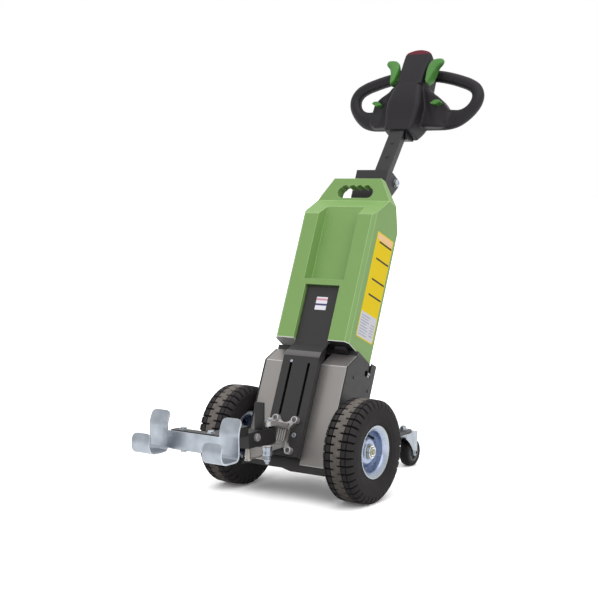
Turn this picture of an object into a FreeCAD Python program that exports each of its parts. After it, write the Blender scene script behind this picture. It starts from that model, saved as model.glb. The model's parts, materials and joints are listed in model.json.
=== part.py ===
"""Electric tow tractor: a walk-behind battery tug, built as separate solids in millimetres.

World frame: +X to the machine's right as seen from its coupling end, -Y towards the
coupling, +Z up. The origin lies on the floor, midway between the two drive tyres.

Most of the chassis leans back by LEAN. Such pieces are drawn upright, with x across,
y towards the operator and z along the mast, and are then turned about the X axis.
"""
import FreeCAD, Part
import math
import os

Vector = FreeCAD.Vector
OUT = "parts"
os.makedirs(OUT, exist_ok=True)

# ---------------------------------------------------------------- driving dimensions
LEAN = 22.65                 # degrees, mast and battery lean back from the vertical

# drive wheels
TYRE_RADIUS = 130.0
TYRE_WIDTH = 85.0
TYRE_TREAD_DEPTH = 6.0
TYRE_BEAD_RADIUS = 52.0
TYRE_LUG_COUNT = 40
TYRE_GROOVE_WIDTH = 5.0
TRACK = 381.4                # centre to centre of the drive tyres
RIM_HALF_WIDTH = 37.0
RIM_FLANGE_RADIUS = 66.0
RIM_THICKNESS = 3.0
RIM_DISC_OFFSET = 6.0        # outboard of the tyre's middle
RIM_HOLE_COUNT = 4
RIM_HOLE_RADIUS = 5.0
HUB_RADIUS = 21.0
HUB_OUTER_REACH = 20.0
HUB_INNER_REACH = 40.0
SHAFT_RADIUS = 10.0
SHAFT_INNER_X = 40.0
AXLE_TUBE_RADIUS = 20.0
RUNNING_CLEARANCE = 0.05

GEAR_CASE_HALF_WIDTH = 45.0
GEAR_CASE_CLEARANCE = 3.0      # to the plate in front of it
MOTOR_RADIUS = 48.0
MOTOR_HEIGHT = 185.0

# drive box
BOX_HALF_WIDTH = 128.0
PLATE_THICKNESS = 4.0
COVER_THICKNESS = 2.0
BOX_FRONT = 100.0            # front edge of the side plates, forward of the mast line
BOX_REAR = 33.0              # rear edge, behind the mast line
BOX_SHOULDER = 317.0         # height where the bevel starts, along the mast
BOX_TOP = 356.0
BOX_TOP_FRONT = 63.0         # where the bevel ends
BOX_UNDERSIDE = TYRE_RADIUS - 59.0   # world height of the lowest edge
UNDERSIDE_STEP = 6.0         # the pan is this much higher left of its low part
UNDERSIDE_LOW_FROM = 22.0
UNDERSIDE_RAMP = 27.0
NOTCH_FRONT = 14.0
NOTCH_REAR = 11.6
NOTCH_DEPTH = 38.0
BASE_THICKNESS = 3.0
COVER_BOTTOM = 55.0
REAR_PLATE_THICKNESS = 3.0

# folded channel and spine
CHANNEL_HALF_WIDTH = 54.0
CHANNEL_FRONT = 125.0
CHANNEL_BOTTOM = 69.0
CHANNEL_TOP = 321.0
SPINE_HALF_WIDTH = 50.0
SPINE_FRONT = 94.0
SPINE_BOTTOM = 371.0
SPINE_TOP = 526.0
CHANNEL_THICKNESS = 3.0
SLOT_X = 27.0
SLOT_WIDTH = 8.0
SLOT_BOTTOM = 172.0
SLOT_TOP = 312.0

# rear frame and casters
FRAME_TOP = 107.0
FRAME_THICKNESS = 7.0
ARM_RADIUS = 24.0
CASTER_X = 82.0
CASTER_SWIVEL_Y = 394.0
CASTER_TRAIL = 38.0
CASTER_RADIUS = 38.4
CASTER_WIDTH = 28.0
CASTER_HUB_RADIUS = 24.0
CASTER_PIN_RADIUS = 5.0
CASTER_BOLT_RADIUS = 6.0
FORK_THICKNESS = 2.5
FORK_SIDE_GAP = 1.5
FORK_TOP_GAP = 2.0           # race between the frame arm and the fork

# mast behind the battery
MAST_HALF_WIDTH = 50.0
MAST_FRONT = -13.0           # forward of the mast line, so it lies behind it
MAST_THICKNESS = 4.0
MAST_ABOVE_PIVOT = 19.0
MAST_BOTTOM = 132.0
CHEEK_LENGTH = 80.0

# battery
BATTERY_HALF_WIDTH = 113.0
BATTERY_FRONT = 103.6
BATTERY_BACK = -25.0
BATTERY_BOTTOM_FRONT = 379.0
BATTERY_BOTTOM_REAR = 351.0
BATTERY_SHOULDER = 726.0
BATTERY_NECK = 784.0
BATTERY_NECK_FRONT = 48.0
BATTERY_TOP = 848.5
BATTERY_TOP_BACK = 27.0
BATTERY_TOP_HALF_WIDTH = 73.2
BATTERY_EDGE_BEVEL = 9.0
CARRY_HALF_WIDTH = 56.0
CARRY_CENTRE = 811.0
CARRY_HEIGHT = 37.0
FINGER_GRIPS = 4
RECESS_TOP_HALF_WIDTH = 62.0
RECESS_FLOOR_HALF_WIDTH = 58.0
RECESS_DEPTH = 30.0
RECESS_BOTTOM = 543.0
LEDGE_BOTTOM = 528.0
BATTERY_CLEARANCE = 3.0
SOCKET_DEPTH = 19.0
SOCKET_HEIGHT = 9.0
SOCKET_WIDTH = 34.0
SOCKET_FROM_SIDE = 30.0
SEAT_GAP = 0.3

# coupling
BOLT_X = 28.6
BOLT_UPPER = 160.0
BOLT_LOWER = 82.0
LUG_RADIUS = 9.8
FLANGE_THICKNESS = 9.0
SIDE_HOLLOW_RADIUS = 45.0
END_HOLLOW_RADIUS = 22.0
COUPLING_PIN_Y = -140.0
COUPLING_PIN_RADIUS = 8.0
JAW_HALF_WIDTH = 15.0
JAW_UPPER_BOTTOM = 195.0
JAW_UPPER_TOP = 207.0
JAW_LOWER_BOTTOM = 134.0
JAW_LOWER_TOP = 148.0
PIN_TOP = 209.5
PIN_BOTTOM = 98.0
PIN_SLEEVE_RADIUS = 13.0
PIN_SLEEVE_TOP = 143.5
PIN_SLEEVE_BOTTOM = 118.0
PIN_SPRING_RADIUS = 9.0

# drawbar and gripper
DRAWBAR_HALF_WIDTH = 13.0
DRAWBAR_BOTTOM = 151.0
DRAWBAR_TOP = 190.0
DRAWBAR_HEAD_FRONT = -245.0
DRAWBAR_HEAD_REAR = -192.0
DRAWBAR_HEAD_HALF_WIDTH = 20.0
DRAWBAR_HEAD_BOTTOM = 156.0
TONGUE_TAIL = 21.0           # square end of the tongue behind its pin
DRAWBAR_TUBE_HALF = 15.0
UPRIGHT_Y = -170.0
UPRIGHT_TOP = 258.0
UPRIGHT_HALF_WIDTH = 14.0
UPRIGHT_THICKNESS = 6.0
PLUNGER_Y = -221.0
PLUNGER_RADIUS = 8.0
PLUNGER_BOTTOM = 122.0
GRIPPER_Y = -433.0
GRIPPER_THICKNESS = 4.0
GRIPPER_HALF_WIDTH = 130.0
HOOK_INNER_X = 76.0
BAR_BOTTOM = 181.0
BAR_TOP = 223.0
HOOK_BOTTOM = 172.0
HOOK_FLARE_START = 240.0
HOOK_FLARE_RISE = 26.0
HOOK_FLARE_BACK = 15.0
HOOK_LIP_Y = -497.0
HOOK_LIP_TOP = 222.0
CROSSBAR_HALF_WIDTH = 68.0
CROSSBAR_DEPTH = 24.0
CLAMP_BOLT_X = 40.0
CLAMP_BOLT_RADIUS = 5.0

# tiller
TILLER_LEAN = 37.0
PIVOT_BEHIND = 62.0          # behind the mast line
PIVOT_HEIGHT = 880.0         # along the mast
PIVOT_BOLT_RADIUS = 6.0
TUBE_HALF_WIDTH = 22.0
TUBE_HALF_DEPTH = 14.0
TUBE_WALL = 2.5
TUBE_LENGTH = 262.0
TUBE_TAIL = 20.0

# tiller head, drawn upright with its front face near y = 0 and then leaned back
HEAD_LEAN = 31.0
HEAD_BASE_Y = 485.0
HEAD_BASE_Z = 938.5
HEAD_STEP_HEIGHT = 146.0     # where the cover plate steps back
HEAD_STEP = 2.5
HEAD_TOP_FRONT = 250.0
HEAD_TOP_BACK = 229.0
LEVER_FRONT = -13.0
LEVER_BACK = 20.0
PAD_RISE = 7.0               # dome of the safety button over the head's end
PAD_HALF_WIDTH = 40.0

# loop handle, in a plane of its own that stands steeper than the head
LOOP_LEAN = 20.0
LOOP_BASE_Y = 563.7
LOOP_RADIUS = 17.0
LOOP_WIDEST = 198.5          # to the bar's middle
LOOP_LENGTH = 139.0          # lower bar's middle to the upper roots
LOOP_BOTTOM = 27.0
BLADE_HALF_HEIGHT = 30.0
BLADE_HALF_WIDTH = 120.0
WING_HALF_DEPTH = 20.0
WING_BACK = 13.0
WING_ROOT_FRONT = 48.0        # the wing comes this far forward beside the head
CHANNEL_DRAFT = 6.0           # the channel narrows this much towards the covers
LOOP_SECTIONS = 16
BUTTON_HEIGHT = 3.0


# ---------------------------------------------------------------- helpers
def wire_face(points):
    """Flat face inside a closed run of straight edges."""
    corners = [Vector(*p) for p in points]
    return Part.Face(Part.makePolygon(corners + [corners[0]]))


def prism_x(points_yz, x_start, x_end):
    """Solid with a (y, z) outline, from x_start to x_end."""
    face = wire_face([(x_start, y, z) for y, z in points_yz])
    return face.extrude(Vector(x_end - x_start, 0, 0))


def prism_y(points_xz, y_start, y_end):
    """Solid with an (x, z) outline, from y_start to y_end."""
    face = wire_face([(x, y_start, z) for x, z in points_xz])
    return face.extrude(Vector(0, y_end - y_start, 0))


def prism_z(points_xy, z_start, z_end):
    """Solid with an (x, y) outline, from z_start to z_end."""
    face = wire_face([(x, y, z_start) for x, y in points_xy])
    return face.extrude(Vector(0, 0, z_end - z_start))


def block(x0, x1, y0, y1, z0, z1):
    """Rectangular block between two corners."""
    return Part.makeBox(x1 - x0, y1 - y0, z1 - z0, Vector(x0, y0, z0))


def rod(start, end, radius):
    """Round rod between two points."""
    a = Vector(*start)
    along = Vector(*end) - a
    return Part.makeCylinder(radius, along.Length, a, along)


def lean_back(shape, angle=LEAN):
    """Turns an upright shape back about the world X axis."""
    turned = shape.copy()
    turned.rotate(Vector(0, 0, 0), Vector(1, 0, 0), -angle)
    return turned


def leaned(x, ahead, up):
    """World place of a point on the mast: ahead of the mast line, and up along it."""
    angle = math.radians(LEAN)
    y = up * math.sin(angle) - ahead * math.cos(angle)
    z = up * math.cos(angle) + ahead * math.sin(angle)
    return Vector(x, y, z)


def mirrored(shape):
    """The same piece on the machine's other side."""
    return shape.mirror(Vector(0, 0, 0), Vector(1, 0, 0))


def fuse_all(shapes):
    """One solid out of overlapping shapes, without seam edges."""
    whole = shapes[0]
    if len(shapes) > 1:
        whole = shapes[0].multiFuse(shapes[1:])
    return whole.removeSplitter()


def cut_all(shape, tools):
    """Shape with every tool taken out of it."""
    for tool in tools:
        shape = shape.cut(tool)
    return shape


def largest(shape):
    """The biggest solid of a shape that a cut has left in several."""
    return max(shape.Solids, key=lambda solid: solid.Volume)


def rounded(shape, radius, choose):
    """Fillets the edges that choose accepts."""
    edges = [edge for edge in shape.Edges if choose(edge)]
    return shape.makeFillet(radius, edges) if edges else shape


def bevelled(shape, size, choose):
    """Chamfers the edges that choose accepts."""
    edges = [edge for edge in shape.Edges if choose(edge)]
    return shape.makeChamfer(size, edges) if edges else shape


def slot_tool(x, z_low, z_high, width, y0, y1):
    """Upright slot with round ends, cut along Y."""
    radius = width / 2
    body = block(x - radius, x + radius, y0, y1, z_low + radius, z_high - radius)
    low = rod((x, y0, z_low + radius), (x, y1, z_low + radius), radius)
    high = rod((x, y0, z_high - radius), (x, y1, z_high - radius), radius)
    return fuse_all([body, low, high])


def save(name, shape):
    """Writes one node and says how large it is."""
    if not shape.isValid():
        print("INVALID", name)
    if len(shape.Solids) == 1:
        shape = shape.Solids[0]
    shape.exportStep(os.path.join(OUT, name + ".step"))
    print("%-22s %8.1f cm3  solids %d" % (name, shape.Volume / 1000, len(shape.Solids)))


def save_pair(name, shape):
    """Writes a right-hand piece and its left-hand twin."""
    save(name + "_right", shape)
    save(name + "_left", mirrored(shape))


# ---------------------------------------------------------------- drive wheels
def tyre_profile():
    """Half section of the tyre about its axle, as (x, radius) runs with round shoulders."""
    half = TYRE_WIDTH / 2
    crown = TYRE_RADIUS
    shoulder = crown - 5
    bulge = (TYRE_RADIUS + TYRE_BEAD_RADIUS) / 2
    bead_x = RIM_HALF_WIDTH - RIM_THICKNESS
    tread_half = half - 10
    points = {
        "crown": Vector(0, 0, crown),
        "right_top": Vector(tread_half, 0, crown - 1.5),
        "right_side": Vector(half - 1.5, 0, shoulder - 6),
        "right_bulge": Vector(half, 0, bulge),
        "right_foot": Vector(bead_x, 0, RIM_FLANGE_RADIUS + 1),
        "right_bead": Vector(bead_x, 0, TYRE_BEAD_RADIUS),
    }
    left = {name: Vector(-p.x, 0, p.z) for name, p in points.items()}
    edges = [
        Part.Arc(left["right_top"], points["crown"], points["right_top"]).toShape(),
        Part.makeLine(points["right_top"], points["right_side"]),
        Part.Arc(points["right_side"], points["right_bulge"], points["right_foot"]).toShape(),
        Part.makeLine(points["right_foot"], points["right_bead"]),
        Part.makeLine(points["right_bead"], left["right_bead"]),
        Part.makeLine(left["right_bead"], left["right_foot"]),
        Part.Arc(left["right_foot"], left["right_bulge"], left["right_side"]).toShape(),
        Part.makeLine(left["right_side"], left["right_top"]),
    ]
    return Part.Face(Part.Wire(edges))


def make_tyre():
    """Pneumatic tyre centred on x = 0, with cross grooves between its blocks."""
    body = tyre_profile().revolve(Vector(0, 0, 0), Vector(1, 0, 0), 360)
    groove_floor = TYRE_RADIUS - TYRE_TREAD_DEPTH
    half = TYRE_WIDTH / 2 + 1
    tools = []
    for index in range(TYRE_LUG_COUNT):
        for side in (-1, 1):
            near, far = sorted((side * 12.0, side * half))
            groove = block(near, far, -TYRE_GROOVE_WIDTH / 2, TYRE_GROOVE_WIDTH / 2,
                           groove_floor, TYRE_RADIUS + 2)
            turn = 360.0 / TYRE_LUG_COUNT * (index + (0.25 if side > 0 else -0.25))
            groove.rotate(Vector(0, 0, 0), Vector(1, 0, 0), turn)
            tools.append(groove)
    return body.cut(Part.makeCompound(tools))


def make_rim():
    """Pressed steel rim with a dished disc and hub, centred on x = 0, disc outboard."""
    edge = RIM_HALF_WIDTH
    wall = RIM_THICKNESS
    seat = TYRE_BEAD_RADIUS
    flange = RIM_FLANGE_RADIUS
    barrel = prism_from_section([
        (-edge, flange), (-edge + wall, flange), (-edge + wall, seat),
        (edge - wall, seat), (edge - wall, flange), (edge, flange),
        (edge, seat - wall), (-edge, seat - wall)])
    disc = prism_from_section([
        (RIM_DISC_OFFSET, seat - wall), (RIM_DISC_OFFSET + wall, seat - wall),
        (RIM_DISC_OFFSET + wall + 6, HUB_RADIUS + 8), (RIM_DISC_OFFSET + wall + 6, HUB_RADIUS),
        (RIM_DISC_OFFSET + 6, HUB_RADIUS), (RIM_DISC_OFFSET + 6, HUB_RADIUS + 8)])
    hub = prism_from_section([
        (-HUB_INNER_REACH, SHAFT_RADIUS), (-HUB_INNER_REACH, HUB_RADIUS - 3),
        (RIM_DISC_OFFSET, HUB_RADIUS), (RIM_DISC_OFFSET + wall + 6, HUB_RADIUS),
        (HUB_OUTER_REACH, HUB_RADIUS - 4), (HUB_OUTER_REACH, SHAFT_RADIUS)])
    rim = fuse_all([barrel, disc, hub])
    holes = []
    for index in range(RIM_HOLE_COUNT):
        turn = math.radians(45 + 360.0 / RIM_HOLE_COUNT * index)
        reach = (HUB_RADIUS + 8 + seat - wall) / 2
        y = reach * math.cos(turn)
        z = reach * math.sin(turn)
        holes.append(rod((0, y, z), (edge, y, z), RIM_HOLE_RADIUS))
    return cut_all(rim, holes)


def prism_from_section(points_xr):
    """Solid of revolution about the X axis from an (x, radius) outline."""
    face = wire_face([(x, 0, radius) for x, radius in points_xr])
    return face.revolve(Vector(0, 0, 0), Vector(1, 0, 0), 360)


def build_wheels():
    """Tyres, rims and drive shafts of both sides."""
    place = Vector(TRACK / 2, 0, TYRE_RADIUS)
    tyre = make_tyre()
    tyre.translate(place)
    save_pair("tyre", tyre)
    rim = make_rim()
    rim.translate(place)
    save_pair("rim", rim)
    end_x = TRACK / 2 + HUB_OUTER_REACH + 10
    shaft = rod((SHAFT_INNER_X, 0, TYRE_RADIUS), (end_x, 0, TYRE_RADIUS), SHAFT_RADIUS)
    nut_x = TRACK / 2 + HUB_OUTER_REACH
    nut = rod((nut_x, 0, TYRE_RADIUS), (nut_x + 8, 0, TYRE_RADIUS), SHAFT_RADIUS + 6)
    save_pair("axle_shaft", fuse_all([shaft, nut]))


# ---------------------------------------------------------------- drive box
def underside_at(y):
    """Upright height of the box's level underside at an upright depth y."""
    angle = math.radians(LEAN)
    return (BOX_UNDERSIDE + y * math.sin(angle)) / math.cos(angle)


def axle_upright():
    """The axle's place in the upright frame, as (y, z)."""
    angle = math.radians(LEAN)
    return -TYRE_RADIUS * math.sin(angle), TYRE_RADIUS * math.cos(angle)


def make_side_plate():
    """Right cheek: bevelled front top, cable notch, level underside, axle hole."""
    outline = [
        (-BOX_FRONT, underside_at(-BOX_FRONT)), (-BOX_FRONT, BOX_SHOULDER),
        (-BOX_TOP_FRONT, BOX_TOP), (-NOTCH_FRONT, BOX_TOP),
        (-NOTCH_FRONT, BOX_TOP - NOTCH_DEPTH), (NOTCH_REAR, BOX_TOP - NOTCH_DEPTH),
        (NOTCH_REAR, BOX_TOP), (BOX_REAR, BOX_TOP), (BOX_REAR, underside_at(BOX_REAR))]
    plate = prism_x(outline, BOX_HALF_WIDTH - PLATE_THICKNESS, BOX_HALF_WIDTH)
    y, z = axle_upright()
    hole = rod((BOX_HALF_WIDTH - 20, y, z), (BOX_HALF_WIDTH + 20, y, z), AXLE_TUBE_RADIUS)
    return lean_back(plate.cut(hole))


def make_front_plate():
    """Inner plate between the cheeks that carries the covers and the channel."""
    inner = BOX_HALF_WIDTH - PLATE_THICKNESS
    front = BOX_FRONT - 1 - COVER_THICKNESS
    back = front - PLATE_THICKNESS
    return lean_back(block(-inner, inner, -front, -back, COVER_BOTTOM, BOX_SHOULDER - 5))


def make_steel_cover():
    """Right stainless cover: flat front and bevelled top of thin sheet."""
    inner = BOX_HALF_WIDTH - PLATE_THICKNESS
    front = BOX_FRONT - 1
    sheet = COVER_THICKNESS
    outline = [
        (-front, COVER_BOTTOM), (-front, BOX_SHOULDER), (-BOX_TOP_FRONT, BOX_TOP),
        (-BOX_TOP_FRONT + sheet * 0.75, BOX_TOP - sheet * 0.7),
        (-front + sheet, BOX_SHOULDER - sheet * 0.4), (-front + sheet, COVER_BOTTOM)]
    return lean_back(prism_x(outline, CHANNEL_HALF_WIDTH - CHANNEL_DRAFT, inner))


def make_spine_channel():
    """Folded sheet: slotted channel in front of the box and spine panel above it."""
    sheet = CHANNEL_THICKNESS
    back = BOX_FRONT - 1 - COVER_THICKNESS
    fold = [
        (-CHANNEL_FRONT, CHANNEL_BOTTOM), (-CHANNEL_FRONT, CHANNEL_TOP),
        (-SPINE_FRONT, SPINE_BOTTOM), (-SPINE_FRONT, SPINE_TOP),
        (-SPINE_FRONT + sheet, SPINE_TOP), (-SPINE_FRONT + sheet, SPINE_BOTTOM + sheet * 0.3),
        (-CHANNEL_FRONT + sheet, CHANNEL_TOP + sheet * 0.3),
        (-CHANNEL_FRONT + sheet, CHANNEL_BOTTOM)]
    web = prism_x(fold, -CHANNEL_HALF_WIDTH, CHANNEL_HALF_WIDTH)
    flange_outline = [
        (-CHANNEL_FRONT, CHANNEL_BOTTOM), (-CHANNEL_FRONT, CHANNEL_TOP),
        (-SPINE_FRONT, SPINE_BOTTOM), (-SPINE_FRONT + sheet, SPINE_BOTTOM),
        (-SPINE_FRONT + sheet, BOX_SHOULDER + 14), (-back, BOX_SHOULDER),
        (-back, CHANNEL_BOTTOM)]
    side = prism_x(flange_outline, 0, CHANNEL_HALF_WIDTH)
    inset = CHANNEL_HALF_WIDTH - CHANNEL_DRAFT
    cover = BOX_FRONT - 1
    plan = [(CHANNEL_HALF_WIDTH, -CHANNEL_FRONT - 1), (CHANNEL_HALF_WIDTH, -CHANNEL_FRONT + 2),
            (inset, -cover), (inset, 0), (inset - sheet, 0), (inset - sheet, -cover),
            (CHANNEL_HALF_WIDTH - sheet, -CHANNEL_FRONT - 1)]
    right = side.common(prism_z(plan, CHANNEL_BOTTOM - 1, SPINE_TOP + 1))
    folded = fuse_all([web, right, mirrored(right)])
    slots = []
    for side in (-1, 1):
        slots.append(slot_tool(side * SLOT_X, SLOT_BOTTOM, SLOT_TOP, SLOT_WIDTH,
                               -CHANNEL_FRONT - 1, -CHANNEL_FRONT + 8))
        outer = [(side * SPINE_HALF_WIDTH, SPINE_BOTTOM),
                 (side * SPINE_HALF_WIDTH, SPINE_TOP + 5),
                 (side * (CHANNEL_HALF_WIDTH + 5), SPINE_TOP + 5),
                 (side * (CHANNEL_HALF_WIDTH + 5), CHANNEL_TOP),
                 (side * CHANNEL_HALF_WIDTH, CHANNEL_TOP)]
        slots.append(prism_y(outer, -CHANNEL_FRONT - 5, 0))
    return lean_back(cut_all(folded, slots))


def make_base_pan():
    """Level floor of the box with a front lip under the covers, lower on the right."""
    inner = BOX_HALF_WIDTH - PLATE_THICKNESS
    front = BOX_FRONT - 1 - COVER_THICKNESS
    low = underside_at(-front)
    raised = low + UNDERSIDE_STEP
    outline = [(-inner, raised), (UNDERSIDE_LOW_FROM - UNDERSIDE_RAMP, raised),
               (UNDERSIDE_LOW_FROM, low), (inner, low), (inner, COVER_BOTTOM),
               (-inner, COVER_BOTTOM)]
    lip = lean_back(prism_y(outline, -front, -front + BASE_THICKNESS))
    front_y = leaned(0, front, raised + 2).y
    rear_y = leaned(0, -BOX_REAR, underside_at(BOX_REAR)).y - 1
    floor_low = BOX_UNDERSIDE + UNDERSIDE_STEP + 1
    floor = block(-inner, inner, front_y + 1, rear_y, floor_low, floor_low + BASE_THICKNESS)
    return fuse_all([lip, floor])


def make_rear_plate():
    """Back of the box, standing on the rear frame."""
    foot = (FRAME_TOP + 0.2 + (BOX_REAR + REAR_PLATE_THICKNESS) * math.sin(math.radians(LEAN)))
    low = foot / math.cos(math.radians(LEAN))
    return lean_back(block(-BOX_HALF_WIDTH, BOX_HALF_WIDTH, BOX_REAR,
                           BOX_REAR + REAR_PLATE_THICKNESS, low, BOX_TOP))


def make_rear_frame():
    """Level plate from the box to the casters, with two rounded arms."""
    inner = BOX_HALF_WIDTH - PLATE_THICKNESS
    low = FRAME_TOP - FRAME_THICKNESS
    box_rear_y = leaned(0, -BOX_REAR, (FRAME_TOP + 12.7) / 0.9229).y
    root = block(-inner, inner, 55.0, box_rear_y - 6, low, FRAME_TOP)
    web = block(-CASTER_X - ARM_RADIUS, CASTER_X + ARM_RADIUS, box_rear_y - 10,
                box_rear_y + 90, low, FRAME_TOP)
    pieces = [root, web]
    for side in (-1, 1):
        x = side * CASTER_X
        pieces.append(block(x - ARM_RADIUS, x + ARM_RADIUS, box_rear_y, CASTER_SWIVEL_Y,
                            low, FRAME_TOP))
        pieces.append(rod((x, CASTER_SWIVEL_Y, low), (x, CASTER_SWIVEL_Y, FRAME_TOP),
                          ARM_RADIUS))
        rib = block(x - 3, x + 3, box_rear_y + 14, CASTER_SWIVEL_Y - 60, FRAME_TOP,
                    FRAME_TOP + 16)
        pieces.append(rib)
    frame = fuse_all(pieces)
    holes = [rod((side * CASTER_X, CASTER_SWIVEL_Y, low - 1),
                 (side * CASTER_X, CASTER_SWIVEL_Y, FRAME_TOP + 1),
                 CASTER_BOLT_RADIUS) for side in (-1, 1)]
    return cut_all(frame, holes)


def make_transaxle():
    """Motor and gear case between the cheeks, with the bored axle tubes."""
    y, z = axle_upright()
    plate_back = BOX_FRONT - 1 - COVER_THICKNESS - PLATE_THICKNESS
    radius = plate_back - GEAR_CASE_CLEARANCE + y
    case = rod((-GEAR_CASE_HALF_WIDTH, y, z), (GEAR_CASE_HALF_WIDTH, y, z), radius)
    motor_y = y + MOTOR_RADIUS - radius + 2
    motor = rod((0, motor_y, z), (0, motor_y, z + MOTOR_HEIGHT), MOTOR_RADIUS)
    tube = rod((-BOX_HALF_WIDTH - 6, y, z), (BOX_HALF_WIDTH + 6, y, z), AXLE_TUBE_RADIUS)
    body = fuse_all([case, motor, tube])
    bores = [rod((SHAFT_INNER_X - 1, y, z), (BOX_HALF_WIDTH + 10, y, z),
                 SHAFT_RADIUS + RUNNING_CLEARANCE)]
    bores.append(mirrored(bores[0]))
    return lean_back(cut_all(body, bores))


def make_mast():
    """Channel behind the battery; its flanges widen into the tiller's cheeks."""
    sheet = MAST_THICKNESS
    face_y = -MAST_FRONT
    web = block(-MAST_HALF_WIDTH, MAST_HALF_WIDTH, face_y, face_y + sheet, MAST_BOTTOM,
                PIVOT_HEIGHT + MAST_ABOVE_PIVOT)
    pivot_y = PIVOT_BEHIND
    top = PIVOT_HEIGHT + MAST_ABOVE_PIVOT
    cheek_outline = [
        (face_y, MAST_BOTTOM), (face_y, top), (face_y + 26, top + 2),
        (pivot_y + 12, top - 5), (pivot_y + 22, PIVOT_HEIGHT + 6),
        (pivot_y + 18, PIVOT_HEIGHT - 7), (pivot_y - 2, PIVOT_HEIGHT - 38),
        (BOX_REAR, PIVOT_HEIGHT - CHEEK_LENGTH), (BOX_REAR, MAST_BOTTOM)]
    cheek = prism_x(cheek_outline, MAST_HALF_WIDTH - sheet, MAST_HALF_WIDTH)
    mast = fuse_all([web, cheek, mirrored(cheek)])
    bolt_hole = rod((-MAST_HALF_WIDTH - 1, pivot_y, PIVOT_HEIGHT),
                    (MAST_HALF_WIDTH + 1, pivot_y, PIVOT_HEIGHT), PIVOT_BOLT_RADIUS)
    return lean_back(mast.cut(bolt_hole))


def make_tiller_pivot():
    """Cross bolt of the tiller with its heads and spacers."""
    y = PIVOT_BEHIND
    z = PIVOT_HEIGHT
    bolt = rod((-MAST_HALF_WIDTH - 10, y, z), (MAST_HALF_WIDTH + 10, y, z),
               PIVOT_BOLT_RADIUS)
    pieces = [bolt]
    for side in (-1, 1):
        outer = side * (MAST_HALF_WIDTH + 7)
        pieces.append(rod((side * MAST_HALF_WIDTH, y, z), (outer, y, z),
                          PIVOT_BOLT_RADIUS + 4))
        inner = side * (MAST_HALF_WIDTH - MAST_THICKNESS)
        pieces.append(rod((inner, y, z), (side * (TUBE_HALF_WIDTH + SEAT_GAP), y, z),
                          PIVOT_BOLT_RADIUS + 5))
    return lean_back(fuse_all(pieces))


# ---------------------------------------------------------------- battery and its seat
def battery_bottom(ahead):
    """Upright height of the battery's straight underside, ahead of the mast line."""
    share = (BATTERY_FRONT - ahead) / (BATTERY_FRONT - BATTERY_BACK)
    return BATTERY_BOTTOM_FRONT + share * (BATTERY_BOTTOM_REAR - BATTERY_BOTTOM_FRONT)


def make_battery_tray():
    """Wedge-shaped support under the battery, between the cheeks."""
    inner = BOX_HALF_WIDTH - PLATE_THICKNESS
    ahead = BOX_TOP_FRONT - 3
    behind = 8.0
    outline = [
        (-ahead, BOX_TOP + 0.3), (-ahead, battery_bottom(ahead) - SEAT_GAP),
        (behind, battery_bottom(-behind) - SEAT_GAP), (behind, BOX_TOP - 22),
        (-ahead + 25, BOX_TOP - 22)]
    return lean_back(prism_x(outline, -inner, inner))


def make_battery_socket():
    """Plug block on the tray that the battery drops on to."""
    ahead = BOX_TOP_FRONT + SOCKET_DEPTH
    behind = BOX_TOP_FRONT - 3
    outline = [
        (-ahead, battery_bottom(ahead) - SEAT_GAP - SOCKET_HEIGHT),
        (-ahead, battery_bottom(ahead) - SEAT_GAP),
        (-behind, battery_bottom(behind) - SEAT_GAP),
        (-behind, BOX_TOP + 0.3)]
    end_x = BOX_HALF_WIDTH - SOCKET_FROM_SIDE
    return lean_back(prism_x(outline, end_x - SOCKET_WIDTH, end_x))


def make_battery_case():
    """Moulded battery: bevelled top, carry hole, front recess, spine and mast grooves."""
    side_outline = [
        (-BATTERY_FRONT, BATTERY_BOTTOM_FRONT), (-BATTERY_FRONT, BATTERY_SHOULDER),
        (-BATTERY_NECK_FRONT, BATTERY_NECK), (-BATTERY_NECK_FRONT, BATTERY_TOP),
        (-BATTERY_TOP_BACK, BATTERY_TOP), (-9.0, BATTERY_NECK),
        (-BATTERY_BACK, BATTERY_SHOULDER - 4), (-BATTERY_BACK, BATTERY_BOTTOM_REAR)]
    body = prism_x(side_outline, -BATTERY_HALF_WIDTH, BATTERY_HALF_WIDTH)
    front_outline = [
        (-BATTERY_HALF_WIDTH, BATTERY_BOTTOM_REAR - 5), (-BATTERY_HALF_WIDTH, BATTERY_NECK),
        (-BATTERY_TOP_HALF_WIDTH, BATTERY_TOP + 1), (BATTERY_TOP_HALF_WIDTH, BATTERY_TOP + 1),
        (BATTERY_HALF_WIDTH, BATTERY_NECK), (BATTERY_HALF_WIDTH, BATTERY_BOTTOM_REAR - 5)]
    body = body.common(prism_y(front_outline, -BATTERY_FRONT - 5, -BATTERY_BACK + 5))

    def front_corner(edge):
        """Long upright edges at the battery's front corners."""
        centre = edge.CenterOfMass
        return abs(centre.y + BATTERY_FRONT) < 1 and abs(abs(centre.x) - BATTERY_HALF_WIDTH) < 1

    body = bevelled(body, BATTERY_EDGE_BEVEL, front_corner)
    tools = [carry_hole_tool(), recess_tool(), spine_groove_tool(), mast_groove_tool()]
    return lean_back(cut_all(body, tools))


def carry_hole_tool():
    """Long hole with round ends and finger grips along its upper edge."""
    radius = CARRY_HEIGHT / 2 - 3
    deep0 = -BATTERY_FRONT
    deep1 = -BATTERY_BACK + 5
    centre = CARRY_CENTRE - 3
    reach = CARRY_HALF_WIDTH - radius
    pieces = [block(-reach, reach, deep0, deep1, centre - radius, centre + radius)]
    for side in (-1, 1):
        pieces.append(rod((side * reach, deep0, centre), (side * reach, deep1, centre),
                          radius))
    pitch = 2 * (reach + radius * 0.3) / FINGER_GRIPS
    for index in range(FINGER_GRIPS):
        x = (index - (FINGER_GRIPS - 1) / 2) * pitch
        z = centre + radius - 7
        pieces.append(rod((x, deep0, z), (x, deep1, z), 13.0))
    return fuse_all(pieces)


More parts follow.
